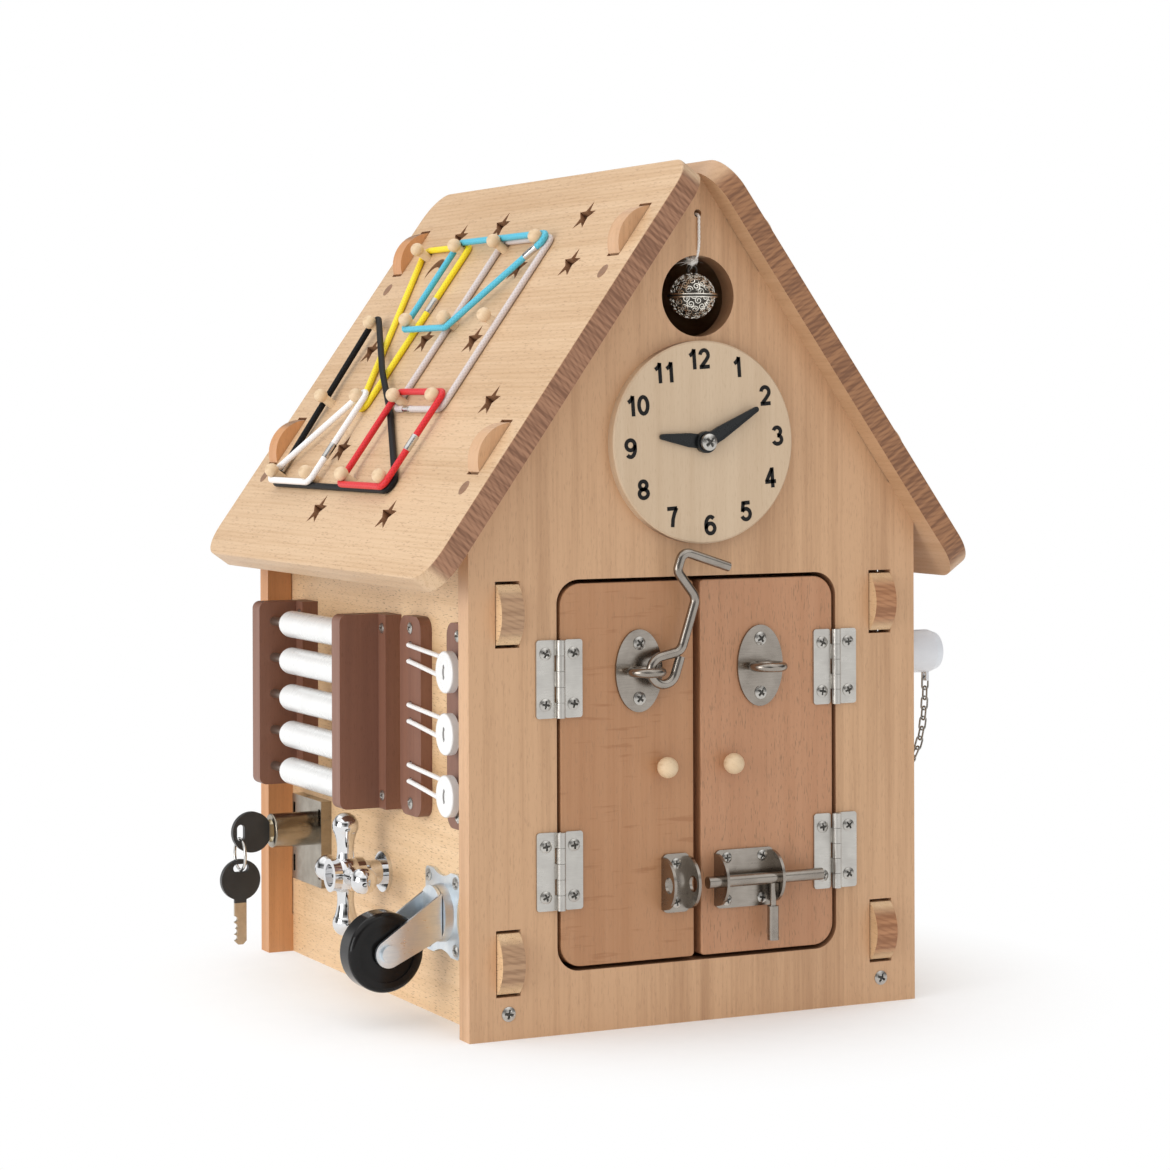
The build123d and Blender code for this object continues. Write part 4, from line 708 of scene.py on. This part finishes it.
def turnedBy(points, degrees):
    # Plane points turned about the origin: (x cos a - y sin a, x sin a + y cos a).
    angle = math.radians(degrees)
    return points @ np.array([[math.cos(angle), math.sin(angle)], [-math.sin(angle), math.cos(angle)]])


six = [arc(0.29, 0.3, 0.29, 0.3, 0, 351), np.vstack([arc(0.32, 0.5, 0.32, 0.5, 48, 180), [(0.0, 0.4), (0.0, 0.3)]])]
digitStrokes = {
    "0": [arc(0.29, 0.5, 0.29, 0.5, 0, 351)],
    "1": [[(0.36, -0.106), (0.36, 1.106)], [(0.05, 0.73), (0.19, 0.81), (0.3, 0.94), (0.36, 1.106)]],
    "2": [np.vstack([arc(0.28, 0.7, 0.27, 0.3, 172, -28), [(0.38, 0.38), (0.05, 0.03)]]), [(-0.07, 0.0), (0.62, 0.0)]],
    "3": [arc(0.25, 0.755, 0.24, 0.245, 162, -90), arc(0.25, 0.255, 0.29, 0.255, 90, -162)],
    "4": [[(0.43, -0.106), (0.43, 1.106)], [(0.42, 1.03), (0.01, 0.29)], [(-0.08, 0.26), (0.66, 0.26)]],
    "5": [[(0.58, 1.0), (0.09, 1.0)], [(0.14, 1.09), (0.05, 0.47)], arc(0.28, 0.32, 0.29, 0.32, 148, -160)],
    "6": six,
    "7": [[(-0.06, 1.0), (0.6, 1.0)], [(0.57, 1.02), (0.41, 0.72), (0.29, 0.38), (0.22, -0.106)]],
    "8": [arc(0.29, 0.76, 0.24, 0.24, 0, 351), arc(0.29, 0.26, 0.29, 0.26, 0, 351)],
    "9": [np.array([0.58, 1.0]) - stroke for stroke in six],
}
closedStrokes = {"0": (0,), "6": (0,), "8": (0, 1), "9": (0,)}
clockHeight = 286.992  # of the clock's pin
numeralFacts = {"ring": 41.2, "tall": 8.25, "stroke": 1.95, "advance": 0.76, "lean": 4.0, "hourTurn": 30.0,
                "centre": np.array([0.4, clockHeight]), "front": -6.12, "back": -5.95}
ink = plastic("numeralInk", (0.01, 0.009, 0.009), (0.018, 0.017, 0.016), 0.5, 0.65, {"Specular IOR Level": 0.15})
numeralSkins = []
for hour in range(1, 13):
    strokes = []
    for order, digit in enumerate(str(hour)):
        for index, stroke in enumerate(digitStrokes[digit]):
            moved = np.asarray(stroke) + (order * numeralFacts["advance"], 0.0)
            strokes.append((moved, index in closedStrokes.get(digit, ())))
    ends = np.vstack([stroke for stroke, closed in strokes])
    middle = (ends.min(0) + ends.max(0)) / 2
    hourAngle = numeralFacts["lean"] - hour * numeralFacts["hourTurn"]
    spot = turnedBy(np.array([0.0, numeralFacts["ring"]]), hourAngle) + numeralFacts["centre"]
    for stroke, closed in strokes:
        drawn = turnedBy((stroke - middle) * numeralFacts["tall"], numeralFacts["lean"]) + spot
        numeralSkins.append(ribbon(drawn, numeralFacts["stroke"], numeralFacts["front"], numeralFacts["back"], closed))
makePiece("clockNumerals", numeralSkins, ink, "house")

# Raised edge of each hand: a closed strip round the hub and the blunt tip; a hand is its length, angle and face
handFacts = {"hour": (25.0, 173.5, 7.6), "minute": (33.0, 30.0, 9.2)}
rimFacts = {"hub": 4.95, "half": 3.05, "shoulder": 9.0, "tip": 0.95, "tipTurn": 80, "tipPoints": 11, "width": 0.9,
            "rise": 0.3, "drop": 0.9}
hub, half, shoulder, tip, tipTurn, tipPoints, width, rise, drop = rimFacts.values()
hubTurn = math.degrees(math.asin(half / hub))
for body, (length, angle, face) in handFacts.items():
    tipArc = arc(length - tip, 0, tip, tip, -tipTurn, tipTurn, tipPoints)
    hubArc = arc(0, 0, hub, hub, hubTurn, 360 - hubTurn)
    outline = turnedBy(np.vstack([hubArc, [(shoulder, -half)], tipArc, [(shoulder, half)]]), angle)
    rim = ribbon(outline + (0.0, clockHeight), width, -face - rise, -face + drop, True)
    makePiece(body + "HandRim", [rim], looks["handBlack"], body)
print("numerals and hand rims made")


# Screw heads: low domes with a cross recess, all as shares of the head's radius
headFacts = {"rings": np.array([1.0, 1.0, 0.97, 0.9, 0.78, 0.66, 0.58, 0.46, 0.34, 0.22, 0.12, 0.05]), "sides": 40,
             "dome": 0.28, "lift": 0.12, "recess": 0.26, "skirt": -0.1, "slot": (0.1, 0.17), "reach": (0.56, 0.66),
             "paintedShade": 0.9, "firstTurn": 0.4, "nextTurn": 1.3}


def screwHead(centre, axis, radius, turn):
    # Height = R (dome (1 - (r/R)^2) + lift) less the recess: a cross where min(|x|, |y|) is small, inside 0.6 R.
    axis, shares, angle = unit(axis), headFacts["rings"][:, None], fullTurn(headFacts["sides"])
    x, y = shares * np.cos(angle - turn), shares * np.sin(angle - turn)
    cross = 1 - smooth(*headFacts["slot"], np.minimum(np.abs(x), np.abs(y)))
    cross = cross * (1 - smooth(*headFacts["reach"], np.hypot(x, y)))
    height = headFacts["dome"] * (1 - shares ** 2) + headFacts["lift"] - headFacts["recess"] * cross
    height[0] = headFacts["skirt"]
    spots = height[..., None] * axis + shares[..., None] * around(angle, *squareTo(axis))
    # The cross recess carries painted shade, 0.9 of full at its middle, for the screw metal to darken.
    return skin(np.asarray(centre, float) + radius * spots, recessShade=cross * headFacts["paintedShade"])


def leafScrews(side):
    # Door leaves and eye plate of one door: the same places times the side.
    return [((side * 69.8, -1.2, z), front, 3.1) for z in hingeRows] + [
        ((side * 34.0, -1.5, 175.0 + s * 13.5), front, 3.3) for s in bothWays]


front, leftward, bothWays = -yAxis, -xAxis, (-1, 1)
hingeRows = [middle + s * 12.3 for middle in (79.6, 172.8) for s in bothWays]
screwFacts = {  # each head's place, the way it looks and its radius
    "house": [((side * 84.9, -1.2, z), front, 3.1) for side in bothWays for z in hingeRows]  # frame leaves
    + [((side * 104.5, 0.0, 12.5), front, 3.6) for side in bothWays]  # corners of the front wall
    + [((-116.7, depth, z), leftward, 3.0) for depth in (91.5, 31.8) for z in (104.2, 192.8)]  # strips
    + [((-119.5, depth, z), leftward, 2.7) for depth in (241.2, 122.2) for z in (105.0, 191.0)]  # rack boards
    + [((-112.3, 62.0 + a * 16.6, 53.0 + b * 16.6), leftward, 3.1) for a in bothWays for b in bothWays]  # caster
    + [((0.0, -11.4, clockHeight), front, 4.15)],  # clock pin
    "left_leaf": leafScrews(-1) + [((-14.0, -1.5, 69.5 + s * 9.5), front, 2.7) for s in bothWays],  # keeper
    "right_leaf": leafScrews(1)
    + [((x, -1.5, 69.5 + s * 10.5), front, 2.7) for x in (14.5, 34.5) for s in bothWays],  # bolt plate
}
for body, heads in screwFacts.items():
    headSkins = [screwHead(*head, headFacts["firstTurn"] + headFacts["nextTurn"] * index)
                 for index, head in enumerate(heads)]
    makePiece(body + "Screws", headSkins, looks["screwSteel"], body, crease=50)
print("screw heads made")


# Turned plugs over the roof screws, flush with the panels
plugFacts = {"profile": [(4.0, -1.0), (4.0, 0.02), (3.8, 0.14), (2.4, 0.22), (0.8, 0.24)], "sides": 28,
             "slopes": (69.0, 198.0), "depths": (6.0, 282.0)}
plugBrown = wood("roofPlug", (0.29, 0.155, 0.085), (0.19, 0.095, 0.05), yAxis, slopeDown, flecks=0.5, rings=0.2,
                 staves=0.0, shift=(3.1, 0, 0))
plugSkins = []
for slope in plugFacts["slopes"]:
    for depth in plugFacts["depths"]:
        for side in (np.ones(3), slopeMirror):
            spot = onRoof(slope, depth, 0.0) * side
            plugSkins.append(lathe(spot, slopeOut * side, plugFacts["profile"], plugFacts["sides"]))
makePiece("roofPlugs", plugSkins, plugBrown, "house")


# Bell: silver scrolls over the dark ball, a rope edge on its flange, and the knot of cotton at its bail
bellFacts = {"centre": np.array([0.0, 6.0, 359.6]), "radius": 11.05, "scrolls": 110, "scroll": 2.0, "wire": 0.4,
             "points": 22, "turns": 1.55, "closing": 0.78, "golden": 0.618034, "start": (0.31, 0.17, 0.93)}
ropeFacts = {"radius": 12.35, "points": 72, "lifts": (-0.75, 0.75), "wire": 0.42,
             "strands": {"lobeShare": 0.3, "lay": 1.55}}
order = np.arange(bellFacts["scrolls"]) + 0.5
polar, azimuth = np.arccos(1 - 2 * order / bellFacts["scrolls"]), order * circle * bellFacts["golden"]
outward = np.stack([np.sin(polar) * np.cos(azimuth), np.sin(polar) * np.sin(azimuth), np.cos(polar)], -1)
winding = np.linspace(0, 1, bellFacts["points"])
swing = bellFacts["scroll"] * (1 - bellFacts["closing"] * winding)
bellSkins = []
for index, way in enumerate(outward):
    u = unit(np.cross(way, bellFacts["start"]))
    angle = winding * circle * bellFacts["turns"] * (1 if index % 2 else -1) + index
    spots = unit(way * bellFacts["radius"] + swing[:, None] * around(angle, u, np.cross(way, u)))
    bellSkins.append(tube(bellFacts["centre"] + bellFacts["radius"] * spots, spots, bellFacts["wire"], sides=6))
for lift in ropeFacts["lifts"]:
    rim = bellFacts["centre"] + lift * zAxis + ropeFacts["radius"] * around(fullTurn(ropeFacts["points"]), xAxis, yAxis)
    bellSkins.append(tube(rim, zAxis, ropeFacts["wire"], sides=8, closed=True, **ropeFacts["strands"]))
bellSilver = metal("antiqueSilver", (0.9, 0.87, 0.8), (0.7, 0.66, 0.58), 0.16, 0.28)
makePiece("bellFiligree", bellSkins, bellSilver, "bell", crease=60)

knotFacts = {"centre": np.array([-0.6, 4.6, 376.9]), "loops": 5, "points": 40, "size": 1.55, "growth": 0.22,
             "flat": 0.72, "yarn": 0.74, "strands": {"lobeShare": 0.25, "lay": 2.3}}
wispFacts = {"count": 34, "spread": (1.0, 0.55, 0.6), "lean": (-0.35, -0.6, 0.3), "lengths": (3.2, 7.5), "bend": 0.35,
             "bendSpread": (1.0, 1.0, 0.4), "sag": 0.1, "points": 9, "radius": 0.16}
knotSkins = []
for index in range(knotFacts["loops"]):
    tilt = np.array([math.sin(2.1 * index + 0.4), 0.6 * math.cos(1.7 * index), math.cos(2.1 * index + 0.4)])
    u = unit(np.cross(tilt, (0.2, 0.9, 0.3)))
    v = knotFacts["flat"] * unit(np.cross(tilt, u))
    size = knotFacts["size"] + knotFacts["growth"] * index
    ringLine = knotFacts["centre"] + size * around(fullTurn(knotFacts["points"]), u, v)
    knotSkins.append(tube(ringLine, tilt, knotFacts["yarn"], sides=10, closed=True, **knotFacts["strands"]))
dice = np.random.default_rng(7)
hairWays = unit(dice.normal(size=(wispFacts["count"], 3)) * wispFacts["spread"] + wispFacts["lean"])
hairLong = dice.uniform(*wispFacts["lengths"], wispFacts["count"])
hairBend = dice.normal(size=(wispFacts["count"], 3)) * wispFacts["bend"]
reach = np.linspace(0.15, 1, wispFacts["points"])
for way, long, bend in zip(hairWays, hairLong, hairBend):
    droop = bend * wispFacts["bendSpread"] - wispFacts["sag"] * zAxis
    hair = knotFacts["centre"] + long * (reach[:, None] * way + (reach ** 2)[:, None] * droop)
    knotSkins.append(tube(hair, unit((0.3, 0.2, 0.93)), wispFacts["radius"] * (1.15 - reach), sides=5))
makePiece("cottonKnot", knotSkins, cottonWhite, "house")
print("bell dressed")


# Chain of the plug: oval wire links along the hanging bow, each a quarter turn from the last
chainFacts = {"bow": np.array([(150.7, 162.5), (150.7, 122.118), (141.663, 102.043), (117.655, 123.66)]),
              "depth": 30.0, "lead": 3.8, "step": 5.3, "links": 14, "length": 8.0, "width": 4.6, "wire": 0.5,
              "bowPoints": 401, "bendPoints": 12}
share = np.linspace(0, 1, chainFacts["bowPoints"])
weights = np.stack([(1 - share) ** 3, 3 * share * (1 - share) ** 2, 3 * share ** 2 * (1 - share), share ** 3], -1)
bowLine = weights @ chainFacts["bow"]  # cubic Bezier line of the four points
bowRun = runAlong(bowLine)
stops = chainFacts["lead"] + (np.arange(chainFacts["links"] + 1) - 0.5) * chainFacts["step"]
stopX, stopZ = (np.interp(stops, bowRun, bowLine[:, axis]) for axis in (0, 1))
joints = np.stack([stopX, np.full(len(stops), chainFacts["depth"]), stopZ], -1)
half = (chainFacts["length"] - chainFacts["width"]) / 2
small = chainFacts["width"] / 2 - chainFacts["wire"]
bends = np.linspace(-math.pi / 2, math.pi / 2, chainFacts["bendPoints"])
ovalX = np.concatenate([half + small * np.cos(bends), -half - small * np.cos(bends)])
ovalY = np.concatenate([small * np.sin(bends), -small * np.sin(bends)])
linkSkins = []
for index in range(chainFacts["links"]):
    along = unit(joints[index + 1] - joints[index])
    flat = np.cross(along, yAxis) if index % 2 == 0 else yAxis
    facing = np.cross(along, flat)
    oval = (joints[index] + joints[index + 1]) / 2 + ovalX[:, None] * along + ovalY[:, None] * flat
    linkSkins.append(tube(oval, facing, chainFacts["wire"], sides=9, closed=True))
chainSteel = metal("chainSteel", (0.42, 0.4, 0.37), (0.27, 0.25, 0.225), 0.2, 0.34)
plugChain = makePiece("plugChain", linkSkins, chainSteel, None)
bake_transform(plugChain)
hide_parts("plug_chain")
print("chain made")


# Floor, light and surroundings
floorFacts = {"corners": [(-6, -6, 0), (6, -6, 0), (6, 6, 0), (-6, 6, 0)], "centre": (0.0, 0.1, 0.0),
              "sweep": (0.13, 0.27)}
floorMesh = bpy.data.meshes.new("studioFloor")
floorMesh.from_pydata(floorFacts["corners"], [], [(0, 1, 2, 3)])
studioFloor = linked("studioFloor", floorMesh)
black, white = (0.0, 0.0, 0.0, 1.0), (1.0, 1.0, 1.0, 1.0)
paper = dressed("studioPaper", skinGroup, tones((0.98, 0.98, 0.98), (0.96, 0.96, 0.96), 0.6, 0.7), bump=0.0,
                settings={"Emission Strength": 1.0, "Specular IOR Level": 0.0})
away = vectorMaths("DISTANCE", paper["where"]["Object"], floorFacts["centre"])["Value"]
fade = spread(away, *floorFacts["sweep"])  # the paper turns to plain white away from the house
wire(blend(fade, paper["block"].outputs["Color"], black), paper["shader"]["Base Color"])
wire(blend(fade, black, white), paper["shader"]["Emission Color"])
floorMesh.materials.append(paper["material"])

# Bright above, behind and to the left, dimmer towards the camera; the camera itself sees plain white
world = bpy.data.worlds.new("studioWorld")
scene.world = world
world.use_nodes = True
sky = world.node_tree
sky.nodes.clear()
skyWhere, skyRay, glossMix, skyMix, skyOut, studioGlow, studioBands, plainWhite = (
    sky.nodes.new("ShaderNode" + kind) for kind in (
        "TexCoord", "LightPath", "MixShader", "MixShader", "OutputWorld", "Background", "Background", "Background"))
for glow in (studioGlow, studioBands, plainWhite):
    glow.inputs["Color"].default_value = white
skyWay = skyWhere.outputs["Generated"]
brightness = vectorMaths("DOT_PRODUCT", skyWay, unit((-0.62, 0.25, 0.74)))["Value"]
# Reflections see four bright screens round the horizon: 0.6 + 0.5 cos(4 turn - 1.885), with a lit ceiling over them
skyX, skyY, skyZ = axisValues(skyWay)
skyTurn = maths("ARCTAN2", skyX, maths("MULTIPLY", skyY, -1.0))
screens = timesPlus(maths("COSINE", timesPlus(skyTurn, 4.0, -1.885)), 0.5, 0.6)
screens = maths("MULTIPLY", screens, spread(skyZ, 0.16, 0.34, 1.0, 0.25))
for start, end in (
        (spread(brightness, -0.6, 0.75, 0.3, 1.15), studioGlow.inputs["Strength"]),
        (maths("ADD", spread(skyZ, 0.42, 0.62), screens), studioBands.inputs["Strength"]),
        (skyRay.outputs["Is Glossy Ray"], glossMix.inputs[0]), (studioGlow.outputs[0], glossMix.inputs[1]),
        (studioBands.outputs[0], glossMix.inputs[2]), (skyRay.outputs["Is Camera Ray"], skyMix.inputs[0]),
        (glossMix.outputs[0], skyMix.inputs[1]), (plainWhite.outputs[0], skyMix.inputs[2]),
        (skyMix.outputs[0], skyOut.inputs["Surface"])):
    wire(start, end)

# Each lamp: its place, power and size, turned towards the house's middle
lampFacts = {"leftKey": ((-2.2, -0.3, 0.55), 18.0, 1.2), "frontFill": ((0.5, -2.0, 1.2), 2.0, 1.4),
             "topFill": ((0.2, 0.3, 2.2), 5.0, 1.6)}
lampGoal = Vector((0, 0.1, 0.2))
for label, (spot, power, size) in lampFacts.items():
    lampData = bpy.data.lights.new(label, "AREA")
    lampData.energy = power
    lampData.size = size
    lamp = linked(label, lampData)
    lamp.location = spot
    lamp.rotation_euler = (lampGoal - lamp.location).to_track_quat("-Z", "Y").to_euler()
scene.view_settings.view_transform = "Standard"
print("floor and light set")
